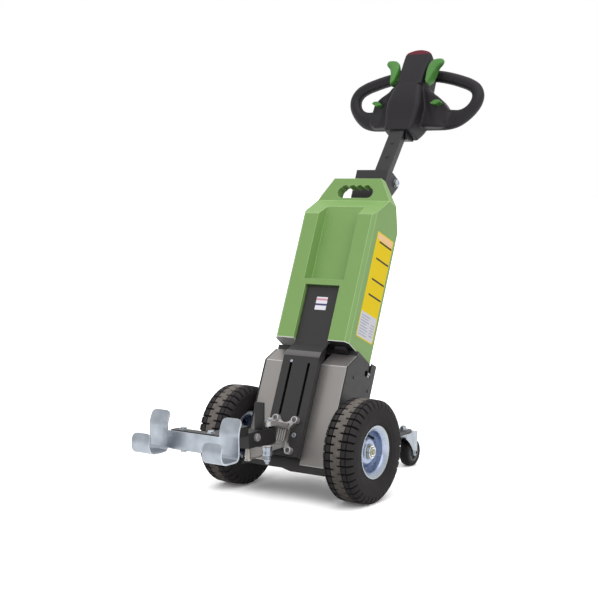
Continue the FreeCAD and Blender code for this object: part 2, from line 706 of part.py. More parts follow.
def recess_tool():
    """Trough down the front: sloping walls from the floor out to the front face."""
    floor_y = -BATTERY_FRONT + RECESS_DEPTH
    top = BATTERY_NECK + 30
    outer_y = -BATTERY_FRONT - 1

    def section(z):
        corners = [(-RECESS_TOP_HALF_WIDTH, outer_y, z), (RECESS_TOP_HALF_WIDTH, outer_y, z),
                   (RECESS_FLOOR_HALF_WIDTH, floor_y, z), (-RECESS_FLOOR_HALF_WIDTH, floor_y, z)]
        return wire_face(corners)

    return section(RECESS_BOTTOM).extrude(Vector(0, 0, top - RECESS_BOTTOM))


def spine_groove_tool():
    """Groove that clears the spine panel when the battery is lifted."""
    half = SPINE_HALF_WIDTH + BATTERY_CLEARANCE
    back_y = -SPINE_FRONT + CHANNEL_THICKNESS + BATTERY_CLEARANCE
    return block(-half, half, -BATTERY_FRONT - 1, back_y, BATTERY_BOTTOM_REAR - 10,
                 SPINE_TOP + 2)


def mast_groove_tool():
    """Groove down the back that the mast stands in."""
    half = MAST_HALF_WIDTH + BATTERY_CLEARANCE
    front_y = -MAST_FRONT - 5
    return block(-half, half, front_y, -BATTERY_BACK + 5, BATTERY_BOTTOM_REAR - 10,
                 BATTERY_TOP)


# ---------------------------------------------------------------- coupling
def make_coupling_casting():
    """Cast flange with four lugs and concave sides, carrying two level jaw arms."""
    back_y = -CHANNEL_FRONT
    front_y = back_y - FLANGE_THICKNESS
    middle = (BOLT_UPPER + BOLT_LOWER) / 2
    plate = block(-BOLT_X, BOLT_X, front_y, back_y, BOLT_LOWER, BOLT_UPPER)
    hollows = []
    for side in (-1, 1):
        x = side * (JAW_HALF_WIDTH + SIDE_HOLLOW_RADIUS)
        hollows.append(rod((x, front_y - 1, middle), (x, back_y + 1, middle),
                           SIDE_HOLLOW_RADIUS))
        z = middle + side * ((BOLT_UPPER - BOLT_LOWER) / 2 - 8 + END_HOLLOW_RADIUS)
        hollows.append(rod((0, front_y - 1, z), (0, back_y + 1, z), END_HOLLOW_RADIUS))
    pieces = [cut_all(plate, hollows)]
    for x in (-BOLT_X, BOLT_X):
        for z in (BOLT_LOWER, BOLT_UPPER):
            pieces.append(rod((x, back_y, z), (x, front_y - 3, z), LUG_RADIUS))
    flange = lean_back(fuse_all(pieces))

    half = JAW_HALF_WIDTH
    y = COUPLING_PIN_Y
    upper_root = leaned(0, -back_y + 4, BOLT_UPPER - 14)
    lower_root = leaned(0, -back_y + 4, BOLT_LOWER + 16)
    upper_low = JAW_UPPER_BOTTOM
    upper = prism_x([
        (y, upper_low), (y, JAW_UPPER_TOP), (y + 12, JAW_UPPER_TOP - 1),
        (upper_root.y, upper_root.z + 2), (upper_root.y, upper_root.z - 12),
        (y + 54, upper_low - 12), (y + 28, upper_low - 2)], -half, half)
    lower = prism_x([
        (y, JAW_LOWER_BOTTOM), (lower_root.y, JAW_LOWER_BOTTOM),
        (lower_root.y, JAW_LOWER_TOP), (y, JAW_LOWER_TOP)], -half, half)
    arms = [upper, lower,
            rod((0, y, upper_low), (0, y, JAW_UPPER_TOP), half),
            rod((0, y, JAW_LOWER_BOTTOM), (0, y, JAW_LOWER_TOP), half)]
    drum = lean_back(block(-half + 1, half - 1, front_y - 4, back_y - 1,
                           BOLT_LOWER + 12, BOLT_UPPER - 10))
    casting = fuse_all([flange, drum] + arms)
    hole = rod((0, y, PIN_BOTTOM), (0, y, PIN_TOP), COUPLING_PIN_RADIUS)
    seat = rod((0, y, JAW_LOWER_BOTTOM - 1), (0, y, PIN_SLEEVE_TOP),
               PIN_SLEEVE_RADIUS + 2)
    behind = lean_back(block(-60, 60, back_y, back_y + 80, 0, 300))
    casting = cut_all(casting, [seat, behind])
    return casting.cut(hole)


def make_coupling_pin():
    """Vertical pin: head on the upper arm, zinc sleeve and spring end under the lower."""
    y = COUPLING_PIN_Y
    pin = rod((0, y, PIN_BOTTOM), (0, y, JAW_UPPER_TOP), COUPLING_PIN_RADIUS)
    head = rod((0, y, JAW_UPPER_TOP), (0, y, PIN_TOP), COUPLING_PIN_RADIUS + 2)
    sleeve = rod((0, y, PIN_SLEEVE_BOTTOM), (0, y, PIN_SLEEVE_TOP), PIN_SLEEVE_RADIUS)
    spring = rod((0, y, PIN_BOTTOM), (0, y, PIN_SLEEVE_BOTTOM), PIN_SPRING_RADIUS)
    return fuse_all([pin, head, sleeve, spring])


def make_drawbar():
    """Black tongue that swings in the jaw, its head block and the tube to the gripper."""
    half = DRAWBAR_HALF_WIDTH
    low = DRAWBAR_BOTTOM
    high = DRAWBAR_TOP
    tongue = block(-half, half, DRAWBAR_HEAD_REAR, COUPLING_PIN_Y, low, high)
    tail = rounded(block(-half, half, COUPLING_PIN_Y - 5, COUPLING_PIN_Y + TONGUE_TAIL,
                         low, high), 5.0, lambda edge: edge.CenterOfMass.y
                   > COUPLING_PIN_Y + TONGUE_TAIL - 0.1
                   and abs(edge.Vertexes[0].Point.z - edge.Vertexes[-1].Point.z) > 10)
    head = block(-DRAWBAR_HEAD_HALF_WIDTH, DRAWBAR_HEAD_HALF_WIDTH, DRAWBAR_HEAD_FRONT,
                 DRAWBAR_HEAD_REAR, DRAWBAR_HEAD_BOTTOM, high + 4)
    end_y = GRIPPER_Y + GRIPPER_THICKNESS + CROSSBAR_DEPTH
    tube_middle = (BAR_BOTTOM + BAR_TOP) / 2
    tube_half = DRAWBAR_TUBE_HALF
    tube = block(-tube_half, tube_half, end_y, DRAWBAR_HEAD_FRONT + 6,
                 tube_middle - tube_half, tube_middle + tube_half - 6)
    bore = rod((0, COUPLING_PIN_Y, low - 1), (0, COUPLING_PIN_Y, high + 1),
               COUPLING_PIN_RADIUS + RUNNING_CLEARANCE)
    return fuse_all([tongue, tail, head, tube]).cut(bore)


def make_upright_plate():
    """Tall plate that stands across the tongue behind its head block."""
    half = UPRIGHT_HALF_WIDTH
    outline = [(-half, DRAWBAR_TOP), (half, DRAWBAR_TOP), (half, UPRIGHT_TOP),
               (-half + 3, UPRIGHT_TOP), (-half, UPRIGHT_TOP - 3)]
    return prism_y(outline, UPRIGHT_Y - UPRIGHT_THICKNESS, UPRIGHT_Y)


def make_latch_plunger():
    """Spring plunger hanging under the drawbar's head block."""
    low = DRAWBAR_HEAD_BOTTOM
    barrel = Part.makeCone(PLUNGER_RADIUS, PLUNGER_RADIUS - 3.2, low - PLUNGER_BOTTOM,
                           Vector(0, PLUNGER_Y, PLUNGER_BOTTOM))
    foot = rod((0, PLUNGER_Y, PLUNGER_BOTTOM), (0, PLUNGER_Y, PLUNGER_BOTTOM + 3),
               PLUNGER_RADIUS + 1)
    lever = rod((0, PLUNGER_Y + 2, PLUNGER_BOTTOM + 4),
                (0, PLUNGER_Y + 58, PLUNGER_BOTTOM + 1.5), 2)
    return fuse_all([barrel, foot, lever])


def make_gripper_plate():
    """Zinc sheet: cross bar between two hooks, each with flared back, floor and front lip."""
    sheet = GRIPPER_THICKNESS
    back = GRIPPER_Y + sheet
    bar = block(-HOOK_INNER_X - 2, HOOK_INNER_X + 2, GRIPPER_Y, back, BAR_BOTTOM, BAR_TOP)
    lip = HOOK_LIP_Y
    profile = [
        (back, HOOK_BOTTOM + 5), (back, HOOK_FLARE_START),
        (back + HOOK_FLARE_BACK, HOOK_FLARE_START + HOOK_FLARE_RISE),
        (back + HOOK_FLARE_BACK - sheet, HOOK_FLARE_START + HOOK_FLARE_RISE),
        (GRIPPER_Y, HOOK_FLARE_START + 1), (GRIPPER_Y, HOOK_BOTTOM + sheet + 4),
        (GRIPPER_Y - 4, HOOK_BOTTOM + sheet), (lip + 14, HOOK_BOTTOM + sheet),
        (lip + sheet, HOOK_BOTTOM + 17), (lip + sheet, HOOK_LIP_TOP - 17),
        (lip + 11, HOOK_LIP_TOP), (lip + 7, HOOK_LIP_TOP + 1),
        (lip, HOOK_LIP_TOP - 16), (lip, HOOK_BOTTOM + 14),
        (lip + 12, HOOK_BOTTOM), (back - 5, HOOK_BOTTOM)]
    hook = prism_x(profile, HOOK_INNER_X, GRIPPER_HALF_WIDTH)
    return fuse_all([bar, hook, mirrored(hook)])


def make_gripper_crossbar():
    """Black tube clamped behind the gripper's cross bar."""
    front = GRIPPER_Y + GRIPPER_THICKNESS
    rear = front + CROSSBAR_DEPTH
    wall = 3.0
    outer = block(-CROSSBAR_HALF_WIDTH, CROSSBAR_HALF_WIDTH, front, rear, BAR_BOTTOM - 2,
                  BAR_TOP + 2)
    inner = block(-CROSSBAR_HALF_WIDTH - 1, CROSSBAR_HALF_WIDTH + 1, front + wall,
                  rear - wall, BAR_BOTTOM - 2 + wall, BAR_TOP + 2 - wall)
    holes = [clamp_bolt_axis(side, CLAMP_BOLT_RADIUS, 1.0) for side in (-1, 1)]
    return cut_all(outer.cut(inner), holes)


def clamp_bolt_axis(side, radius, extra):
    """Upright rod through the crossbar at one clamp bolt."""
    x = side * CLAMP_BOLT_X
    y = GRIPPER_Y + GRIPPER_THICKNESS + CROSSBAR_DEPTH / 2
    return rod((x, y, BAR_BOTTOM - 2 - extra), (x, y, BAR_TOP + 2 + extra), radius)


def make_gripper_bolts():
    """Two upright clamp bolts with heads above and nuts below."""
    bolts = []
    for side in (-1, 1):
        x = side * CLAMP_BOLT_X
        y = GRIPPER_Y + GRIPPER_THICKNESS + CROSSBAR_DEPTH / 2
        shank = clamp_bolt_axis(side, CLAMP_BOLT_RADIUS, 6.0)
        head = rod((x, y, BAR_TOP + 2), (x, y, BAR_TOP + 8), CLAMP_BOLT_RADIUS + 3.5)
        nut = rod((x, y, BAR_BOTTOM - 8), (x, y, BAR_BOTTOM - 2), CLAMP_BOLT_RADIUS + 3.5)
        bolts.append(fuse_all([shank, head, nut]))
    return Part.makeCompound(bolts)


# ---------------------------------------------------------------- casters
def make_caster_fork():
    """Right fork: round top plate and two legs trailing down to the wheel pin."""
    x = CASTER_X
    y = CASTER_SWIVEL_Y
    wheel_y = y + CASTER_TRAIL
    wheel_z = CASTER_RADIUS
    top = FRAME_TOP - FRAME_THICKNESS - FORK_TOP_GAP
    inner = CASTER_WIDTH / 2 + FORK_SIDE_GAP
    outer = inner + FORK_THICKNESS
    plate_low = top - 4
    plate = rod((x, y, plate_low), (x, y, top), outer + 3)
    plate = fuse_all([plate, block(x - outer, x + outer, y, wheel_y + 10, plate_low, top)])
    start = Vector(0, y - 13, top - 14)
    through = Vector(0, wheel_y - 24, wheel_z + 23)
    end = Vector(0, wheel_y - 9, wheel_z)
    edges = [
        Part.makeLine(Vector(0, y - 13, top), start),
        Part.Arc(start, through, end).toShape(),
        Part.Arc(end, Vector(0, wheel_y, wheel_z - 9), Vector(0, wheel_y + 9, wheel_z)).toShape(),
        Part.makeLine(Vector(0, wheel_y + 9, wheel_z), Vector(0, wheel_y + 12, top)),
        Part.makeLine(Vector(0, wheel_y + 12, top), Vector(0, y - 13, top))]
    leg_face = Part.Face(Part.Wire(edges))
    legs = []
    for side in (-1, 1):
        near = x + side * inner
        leg = leg_face.extrude(Vector(side * FORK_THICKNESS, 0, 0))
        leg.translate(Vector(near, 0, 0))
        legs.append(leg)
    fork = fuse_all([plate] + legs)
    pin_hole = rod((x - outer - 1, wheel_y, wheel_z), (x + outer + 1, wheel_y, wheel_z),
                   CASTER_PIN_RADIUS)
    king_hole = rod((x, y, plate_low - 1), (x, y, top + 1),
                    CASTER_BOLT_RADIUS + RUNNING_CLEARANCE)
    pin = rod((x - outer - 3, wheel_y, wheel_z), (x + outer + 3, wheel_y, wheel_z),
              CASTER_PIN_RADIUS)
    return fuse_all([cut_all(fork, [pin_hole, king_hole]), pin])


def make_caster_bolt():
    """Right king bolt: nut on the arm, shank through it, head under the fork plate."""
    x = CASTER_X
    y = CASTER_SWIVEL_Y
    arm_low = FRAME_TOP - FRAME_THICKNESS
    fork_low = arm_low - FORK_TOP_GAP - 4
    shank = rod((x, y, fork_low - 4), (x, y, FRAME_TOP + 12), CASTER_BOLT_RADIUS)
    nut = rod((x, y, FRAME_TOP), (x, y, FRAME_TOP + 8), CASTER_BOLT_RADIUS + 4)
    race = rod((x, y, arm_low - FORK_TOP_GAP + 0.3), (x, y, arm_low), CASTER_BOLT_RADIUS + 8)
    head = rod((x, y, fork_low - 4), (x, y, fork_low - 0.3), CASTER_BOLT_RADIUS + 4)
    return fuse_all([shank, nut, race, head])


def build_casters():
    """Forks, wheels and king bolts of both casters."""
    save_pair("caster_fork", make_caster_fork())
    save_pair("caster_bolt", make_caster_bolt())
    place = Vector(CASTER_X, CASTER_SWIVEL_Y + CASTER_TRAIL, CASTER_RADIUS)
    half = CASTER_WIDTH / 2
    tread = prism_from_section([
        (-half, CASTER_HUB_RADIUS), (-half, CASTER_RADIUS - 5), (-half + 5, CASTER_RADIUS),
        (half - 5, CASTER_RADIUS), (half, CASTER_RADIUS - 5), (half, CASTER_HUB_RADIUS)])
    bore = CASTER_PIN_RADIUS + RUNNING_CLEARANCE
    hub = prism_from_section([
        (-half - 1, bore), (-half - 1, bore + 5), (-half + 3, bore + 6), (-half + 3, 20),
        (-half, 20), (-half, CASTER_HUB_RADIUS), (half, CASTER_HUB_RADIUS), (half, 20),
        (half - 3, 20), (half - 3, bore + 6), (half + 1, bore + 5), (half + 1, bore)])
    for shape in (tread, hub):
        shape.translate(place)
    save_pair("caster_tread", tread)
    save_pair("caster_hub", hub)


# ---------------------------------------------------------------- tiller
def on_tiller(shape):
    """Puts a shape drawn about the pivot, tube upright, at the tiller's lean."""
    turned = shape.copy()
    turned.rotate(Vector(0, 0, 0), Vector(1, 0, 0), -TILLER_LEAN)
    turned.translate(leaned(0, -PIVOT_BEHIND, PIVOT_HEIGHT))
    return turned


def on_head(shape):
    """Puts a shape drawn with the head's front face at y = 0 at the head's lean."""
    turned = shape.copy()
    turned.rotate(Vector(0, 0, 0), Vector(1, 0, 0), -HEAD_LEAN)
    turned.translate(Vector(0, HEAD_BASE_Y, HEAD_BASE_Z))
    return turned


def make_tiller_tube():
    """Rectangular tube, rounded at its foot and bored for the pivot bolt."""
    x = TUBE_HALF_WIDTH
    y = TUBE_HALF_DEPTH
    outer = fuse_all([
        block(-x, x, -y, y, 0, TUBE_LENGTH),
        rod((-x, 0, 0), (x, 0, 0), y)])
    wall = TUBE_WALL
    inner = block(-x + wall, x - wall, -y + wall, y - wall, 22, TUBE_LENGTH + 1)
    bore = rod((-x - 1, 0, 0), (x + 1, 0, 0), PIVOT_BOLT_RADIUS + RUNNING_CLEARANCE)
    return on_tiller(cut_all(outer, [inner, bore]))


def head_section(b, half, front, back, corner):
    """Rounded rectangle across the head at height b, as a closed wire."""
    near, far = -half + corner, half - corner
    top, bottom = front + corner, back - corner
    slant = corner * (1 - math.sqrt(0.5))

    def at(x, y):
        return Vector(x, y, b)

    return Part.Wire([
        Part.makeLine(at(near, front), at(far, front)),
        Part.Arc(at(far, front), at(half - slant, front + slant), at(half, top)).toShape(),
        Part.makeLine(at(half, top), at(half, bottom)),
        Part.Arc(at(half, bottom), at(half - slant, back - slant), at(far, back)).toShape(),
        Part.makeLine(at(far, back), at(near, back)),
        Part.Arc(at(near, back), at(-half + slant, back - slant), at(-half, bottom)).toShape(),
        Part.makeLine(at(-half, bottom), at(-half, top)),
        Part.Arc(at(-half, top), at(-half + slant, front + slant), at(near, front)).toShape()])


def head_column(extra=0.0):
    """Head housing up to its end, or past it by extra, before the end is cut off."""
    step = HEAD_STEP_HEIGHT
    lower = Part.makeLoft([
        head_section(0, 43, 0, 62, 6), head_section(30, 47, -3, 80, 8),
        head_section(60, 52, -9, 90, 11), head_section(85, 54, -14, 92, 13),
        head_section(108, 50, -15.5, 90, 13), head_section(step, 43, -14.5, 83, 11)], True)
    upper = Part.makeLoft([
        head_section(step, 43 - HEAD_STEP / 2, -14.5 + HEAD_STEP, 82, 10),
        head_section(187, 41, -12 + HEAD_STEP / 2, 75, 9),
        head_section(242, 43, -6, 62, 9),
        head_section(HEAD_TOP_FRONT + 3 + extra, 42, -2, 54, 9)], True)
    return fuse_all([lower, upper])


def head_end_tool():
    """Wedge above the sloping end of the head."""
    drop = (HEAD_TOP_FRONT - HEAD_TOP_BACK) / 60.0
    outline = [(-40, HEAD_TOP_FRONT + 37 * drop), (120, HEAD_TOP_FRONT - 123 * drop),
               (120, HEAD_TOP_FRONT + 90), (-40, HEAD_TOP_FRONT + 90)]
    return prism_x(outline, -80, 80)


def head_body_shape():
    """Head housing in its own frame."""
    return head_column().cut(head_end_tool())


def belly_button_shape():
    """Red safety button: a dome over the head's sloping end, in the head's frame."""
    cap = head_column(30.0).common(head_end_tool())
    radius = (PAD_HALF_WIDTH ** 2 + PAD_RISE ** 2) / (2 * PAD_RISE)
    slope = math.atan2(HEAD_TOP_FRONT - HEAD_TOP_BACK, 60.0)
    centre = Vector(0, -60, HEAD_TOP_FRONT + 2 + 57 * math.tan(slope) + PAD_RISE - radius)
    along = Vector(0, math.cos(slope), -math.sin(slope))
    dome = Part.makeCylinder(radius, 200, centre, along)
    return cap.common(dome)


def on_loop(shape):
    """Puts a shape drawn in the loop's upright plane y = 0 at the loop's lean."""
    turned = shape.copy()
    turned.rotate(Vector(0, 0, 0), Vector(1, 0, 0), -LOOP_LEAN)
    turned.translate(Vector(0, LOOP_BASE_Y, HEAD_BASE_Z))
    return turned


def loop_path():
    """Right half of the handle's middle line, from the lower middle up to the head."""
    widest = LOOP_WIDEST
    low = LOOP_BOTTOM
    rise = LOOP_LENGTH
    stations = [(0.0, 0.0), (0.33, 0.0), (0.62, 0.01), (0.75, 0.04), (0.86, 0.12),
                (0.94, 0.23), (0.99, 0.36), (1.0, 0.52), (0.955, 0.65), (0.84, 0.76),
                (0.71, 0.83), (0.55, 0.90), (0.36, 0.96), (0.14, 1.0)]
    points = [Vector(widest * across, 0, low + rise * up) for across, up in stations]
    curve = Part.BSplineCurve()
    curve.interpolate(points)
    return curve


def oval(centre, normal, half_width, half_depth):
    """Closed oval across the handle; its longer axis lies in the handle's plane."""
    across = Vector(0, 1, 0).cross(normal).normalize()
    ellipse = Part.Ellipse(centre + across * half_width, centre + Vector(0, half_depth, 0),
                           centre)
    return Part.Wire([ellipse.toShape()])


def loop_shape():
    """Whole loop handle in its plane: a broad lower bar that tapers into a round loop."""
    curve = loop_path()
    length = curve.length()
    taper_start, taper_end = BLADE_HALF_WIDTH, LOOP_WIDEST * 0.97
    sections = []
    for index in range(LOOP_SECTIONS):
        at = curve.parameterAtDistance(length * index / (LOOP_SECTIONS - 1),
                                       curve.FirstParameter)
        centre = curve.value(at)
        share = (centre.x - taper_start) / (taper_end - taper_start)
        share = min(max(share, 0.0), 1.0) if centre.z < LOOP_BOTTOM + 40 else 1.0
        ease = share * share * (3 - 2 * share)
        half_width = BLADE_HALF_HEIGHT + (LOOP_RADIUS + 0.5 - BLADE_HALF_HEIGHT) * ease
        sections.append(oval(centre, curve.tangent(at)[0], half_width, LOOP_RADIUS))
    right = Part.makeLoft(sections, True)
    return fuse_all([right, mirrored(right)])


def wing_shape():
    """Right wing in the loop's plane: a moulded web that runs forward beside the head."""
    low = LOOP_BOTTOM - BLADE_HALF_HEIGHT
    reach = BLADE_HALF_WIDTH
    corners = [(30, low), (30, low + 130), (54, low + 119), (64, low + 104), (82, low + 95),
               (98, low + 85), (110, low + 72), (reach, low + 60), (reach + 8, low + 44),
               (reach + 8, low + 14), (reach - 6, low + 2), (reach - 20, low)]
    web = prism_y(corners, -WING_ROOT_FRONT, WING_BACK)
    plan = [(30, -WING_ROOT_FRONT), (58, -WING_ROOT_FRONT), (reach - 8, 10 - WING_ROOT_FRONT),
            (reach + 8, -WING_HALF_DEPTH), (reach + 8, WING_BACK), (30, WING_BACK)]
    chin = [(-WING_ROOT_FRONT - 10, low - 5), (-WING_ROOT_FRONT - 10, low + 16),
            (-WING_HALF_DEPTH + 8, low), (-WING_HALF_DEPTH + 8, low - 5)]
    heel = [(0, low), (WING_BACK + 8, low + 14), (WING_BACK + 8, low - 5), (0, low - 5)]
    body = web.common(prism_z(plan, low - 1, low + 140))
    wing = cut_all(body, [prism_x(chin, 0, reach + 20), prism_x(heel, 0, reach + 20)])

    def outer_rim(edge):
        """Edges of the front and back faces along the wing's outline, past the head."""
        centre = edge.CenterOfMass
        level = abs(edge.Vertexes[0].Point.y - edge.Vertexes[-1].Point.y) < 20
        broad = centre.y < -WING_HALF_DEPTH + 0.5 or centre.y > WING_BACK - 0.5
        return level and broad and centre.z > low + 30 and centre.x > 54

    return rounded(wing, 6.0, outer_rim)


def wing_button_shape():
    """Raised pad on the wing's upper slope, in the loop's plane."""
    low = LOOP_BOTTOM - BLADE_HALF_HEIGHT
    slope = Vector(98 - 82, 0, 85 - 95)
    start = Vector(82, 0, low + 95) + slope * 0.12
    end = Vector(82, 0, low + 95) + slope * 0.88
    out = Vector(-slope.z, 0, slope.x).normalize() * BUTTON_HEIGHT
    corners = [(start.x, start.z), (end.x, end.z), (end.x + out.x, end.z + out.z),
               (start.x + out.x, start.z + out.z)]
    return prism_y(corners, -34, 2)


def thumb_lever_shape():
    """Right butterfly lever in the head's frame: a deep leaf with a curled horn."""
    outline = [(50, 163), (53, 153), (57, 147), (61, 149), (64, 160), (66, 172),
               (70, 185), (75, 198), (84, 208), (92, 215), (92, 223), (88, 228), (72, 229),
               (58, 226), (50, 217), (47, 204), (47, 188), (49, 172)]
    behind_horn = [(0, 240), (2, 214), (7, 205), (12, 198), (20, 186), (30, 180), (30, 240)]
    leaf = prism_y(outline, LEVER_FRONT, LEVER_BACK).cut(prism_x(behind_horn, 30, 110))
    chin = [(LEVER_BACK + 1, 168), (LEVER_BACK - 11, 140), (LEVER_BACK + 1, 140)]
    root = block(38, 52, 3, LEVER_BACK - 4, 166, 198)
    lever = fuse_all([leaf.cut(prism_x(chin, 30, 110)), root])

    def leaf_rim(edge):
        """Front outline clear of the root."""
        centre = edge.CenterOfMass
        return centre.y < LEVER_FRONT + 0.1 and centre.x > 45

    return bevelled(lever, 3.0, leaf_rim)


def collar_shape():
    """Box behind the tube under the head, in world coordinates."""
    outline = [(494, 910), (536, 904), (538, 925), (510, 945), (497, 935)]
    return prism_x(outline, -28, 28)


def build_tiller():
    """All pieces that turn about the tiller's bolt."""
    save("tiller_tube", make_tiller_tube())
    tube_hull = on_tiller(block(-TUBE_HALF_WIDTH, TUBE_HALF_WIDTH, -TUBE_HALF_DEPTH,
                                TUBE_HALF_DEPTH, 0, TUBE_LENGTH))
    head = on_head(head_body_shape()).cut(tube_hull)
    save("head_body", head)
    save("belly_button", on_head(belly_button_shape()))
    loop = on_loop(loop_shape()).cut(head).cut(tube_hull)
    save("loop_handle", loop)
    wing = largest(cut_all(on_loop(wing_shape()), [head, loop]))
    save_pair("wing", wing)
    lever = cut_all(on_head(thumb_lever_shape()), [head, loop])
    save_pair("thumb_lever", lever)
    button = on_loop(wing_button_shape())
    save("wing_buttons", Part.makeCompound([button, mirrored(button)]))
    save("tiller_collar", cut_all(collar_shape(), [head, tube_hull, loop]))


# ---------------------------------------------------------------- whole machine
def build_chassis():
    """All pieces fixed to the drive box."""
    save_pair("side_plate", make_side_plate())
    save("front_plate", make_front_plate())
    save_pair("steel_cover", make_steel_cover())
    save("spine_channel", make_spine_channel())
    save("base_pan", make_base_pan())
    save("rear_plate", make_rear_plate())
    save("rear_frame", make_rear_frame())
    save("transaxle", make_transaxle())
    save("mast", make_mast())
    save("tiller_pivot", make_tiller_pivot())
    save("battery_tray", make_battery_tray())
    save("battery_socket", make_battery_socket())
    save("coupling_casting", make_coupling_casting())
    save("coupling_pin", make_coupling_pin())


def build_towing_gear():
    """All pieces that swing about the coupling pin."""
    save("drawbar", make_drawbar())
    save("upright_plate", make_upright_plate())
    save("latch_plunger", make_latch_plunger())
    save("gripper_plate", make_gripper_plate())
    save("gripper_crossbar", make_gripper_crossbar())
    save("gripper_bolts", make_gripper_bolts())


def main():
    """Builds every node."""
    build_chassis()
    save("battery_case", make_battery_case())
    build_wheels()
    build_casters()
    build_towing_gear()
    build_tiller()


main()
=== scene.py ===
"""Looks of the electric tow tractor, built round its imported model.

Every length in this file is in millimetres until a mesh is written, and the
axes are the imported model's own: +X to the right seen from the gripper end,
-Y towards the gripper, +Z up, with the origin on the floor under the drive
axle.
"""

import json
import logging
import math
from dataclasses import dataclass
from enum import Enum
from typing import Any, Callable, Iterable, Sequence

import bmesh
import bpy
import numpy as np
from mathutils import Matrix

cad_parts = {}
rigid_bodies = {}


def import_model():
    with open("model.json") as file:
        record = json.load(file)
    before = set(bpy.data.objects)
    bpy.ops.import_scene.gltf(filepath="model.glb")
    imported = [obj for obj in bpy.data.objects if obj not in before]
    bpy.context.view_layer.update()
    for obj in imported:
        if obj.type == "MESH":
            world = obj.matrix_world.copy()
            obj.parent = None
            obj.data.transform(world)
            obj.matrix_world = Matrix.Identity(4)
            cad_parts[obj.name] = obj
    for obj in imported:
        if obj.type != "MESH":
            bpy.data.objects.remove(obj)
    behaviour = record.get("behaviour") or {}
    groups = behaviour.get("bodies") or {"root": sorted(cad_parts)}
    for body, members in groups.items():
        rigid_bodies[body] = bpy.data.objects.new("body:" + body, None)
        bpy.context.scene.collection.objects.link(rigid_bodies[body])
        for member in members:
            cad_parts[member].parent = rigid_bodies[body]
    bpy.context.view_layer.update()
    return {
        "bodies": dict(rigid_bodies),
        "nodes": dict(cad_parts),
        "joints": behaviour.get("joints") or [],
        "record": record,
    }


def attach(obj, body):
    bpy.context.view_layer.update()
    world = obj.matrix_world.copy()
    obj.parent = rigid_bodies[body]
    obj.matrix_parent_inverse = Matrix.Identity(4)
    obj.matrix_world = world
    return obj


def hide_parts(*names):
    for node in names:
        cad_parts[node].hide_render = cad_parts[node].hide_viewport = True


LOG = logging.getLogger("tow_tractor")
MM = 0.001
Array = np.ndarray
Pair = tuple[float, float]
Triple = tuple[float, float, float]
Colour = Triple
Outline = Sequence[Pair] | Array

FRAME: dict[str, Any] = {}

# Face attribute of every piece: 1 on the outer rounds of its edges, 0 elsewhere; a finish with an
# edge colour paints a highlight there.
HIGHLIGHT_EDGE_MARK = "painted_highlight_edge"
OUTER_TURN = 0.04        # radians; a bevel face that turns outwards less is no outer round
EDGE_SEGMENTS = 2        # faces across a small edge round
BEND_SEGMENTS = 6        # faces across a wide bend of a sheet
WELD_DRAWN = 1e-6        # metres; closer points of a drawn piece are one
SLIVER_DRAWN = 1e-7      # metres; shorter edges of a drawn piece are dissolved
WELD_NODE = 5e-6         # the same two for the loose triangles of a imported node
SLIVER_NODE = 1e-6
FLAT_WITHIN = 0.4        # degrees; a node's faces that turn less are one face
SIDE_SHARE = 0.49        # most of a side that the round of one corner takes

# Noise of the finishes: features per metre, and octaves.
ROUGH_SCALE = 45.0
BROAD_DETAIL = 3.0
FINE_DETAIL = 2.0


# ---- shader graph
class Wire:
    """An output socket that arithmetic can be written with."""

    def __init__(self, graph: "Graph", socket: bpy.types.NodeSocket) -> None:
        """Keeps the graph that new Math nodes go into and the output that it stands for."""
        self.graph = graph
        self.socket = socket

    def _math(self, operation: str, *operands: "Wire | float") -> "Wire":
        """Result of one Math node on wires or plain numbers, in the node's order."""
        inputs = {index: value for index, value in enumerate(operands)}
        return self.graph.node("ShaderNodeMath", {"operation": operation}, inputs).out()

    def __add__(self, other: "Wire | float") -> "Wire":
        """Sum."""
        return self._math("ADD", self, other)

    def __radd__(self, other: "Wire | float") -> "Wire":
        """Sum, number first."""
        return self._math("ADD", other, self)

    def __sub__(self, other: "Wire | float") -> "Wire":
        """Difference."""
        return self._math("SUBTRACT", self, other)

    def __rsub__(self, other: "Wire | float") -> "Wire":
        """Difference, number first."""
        return self._math("SUBTRACT", other, self)

    def __mul__(self, other: "Wire | float") -> "Wire":
        """Product."""
        return self._math("MULTIPLY", self, other)

    def __rmul__(self, other: "Wire | float") -> "Wire":
        """Product, number first."""
        return self._math("MULTIPLY", other, self)

    def __abs__(self) -> "Wire":
        """Absolute value."""
        return self._math("ABSOLUTE", self)

    def maximum(self, other: "Wire | float") -> "Wire":
        """The larger of the two."""
        return self._math("MAXIMUM", self, other)

    def minimum(self, other: "Wire | float") -> "Wire":
        """The smaller of the two."""
        return self._math("MINIMUM", self, other)

    def angle(self, beside: "Wire") -> "Wire":
        """Angle whose tangent is this over the other."""
        return self._math("ARCTAN2", self, beside)

    def fold(self, half: float) -> "Wire":
        """Distance to the nearest multiple of twice the half."""
        return self._math("PINGPONG", self, half)

    def step(self, low: float, high: float) -> "Wire":
        """Smooth 0 to 1 between two levels.

        Args:
            low: Level where the result is 0.
            high: Level where the result is 1.

        Returns:
            The stepped value.
        """
        inputs = {"Value": self, "From Min": low, "From Max": high}
        return self.graph.node("ShaderNodeMapRange", {"interpolation_type": "SMOOTHSTEP"},
                               inputs).out()

    def step_mm(self, low: float, high: float) -> "Wire":
        """The same step of a distance in metres, between two levels in millimetres."""
        return self.step(low * MM, high * MM)


class NodeHandle:
    """A node of a graph, whose outputs are read as wires."""

    def __init__(self, graph: "Graph", node: bpy.types.Node) -> None:
        """Keeps the graph and the node in it."""
        self.graph = graph
        self.node = node

    def out(self, key: int | str = 0) -> Wire:
        """One output, by its number or name."""
        return Wire(self.graph, self.node.outputs[key])


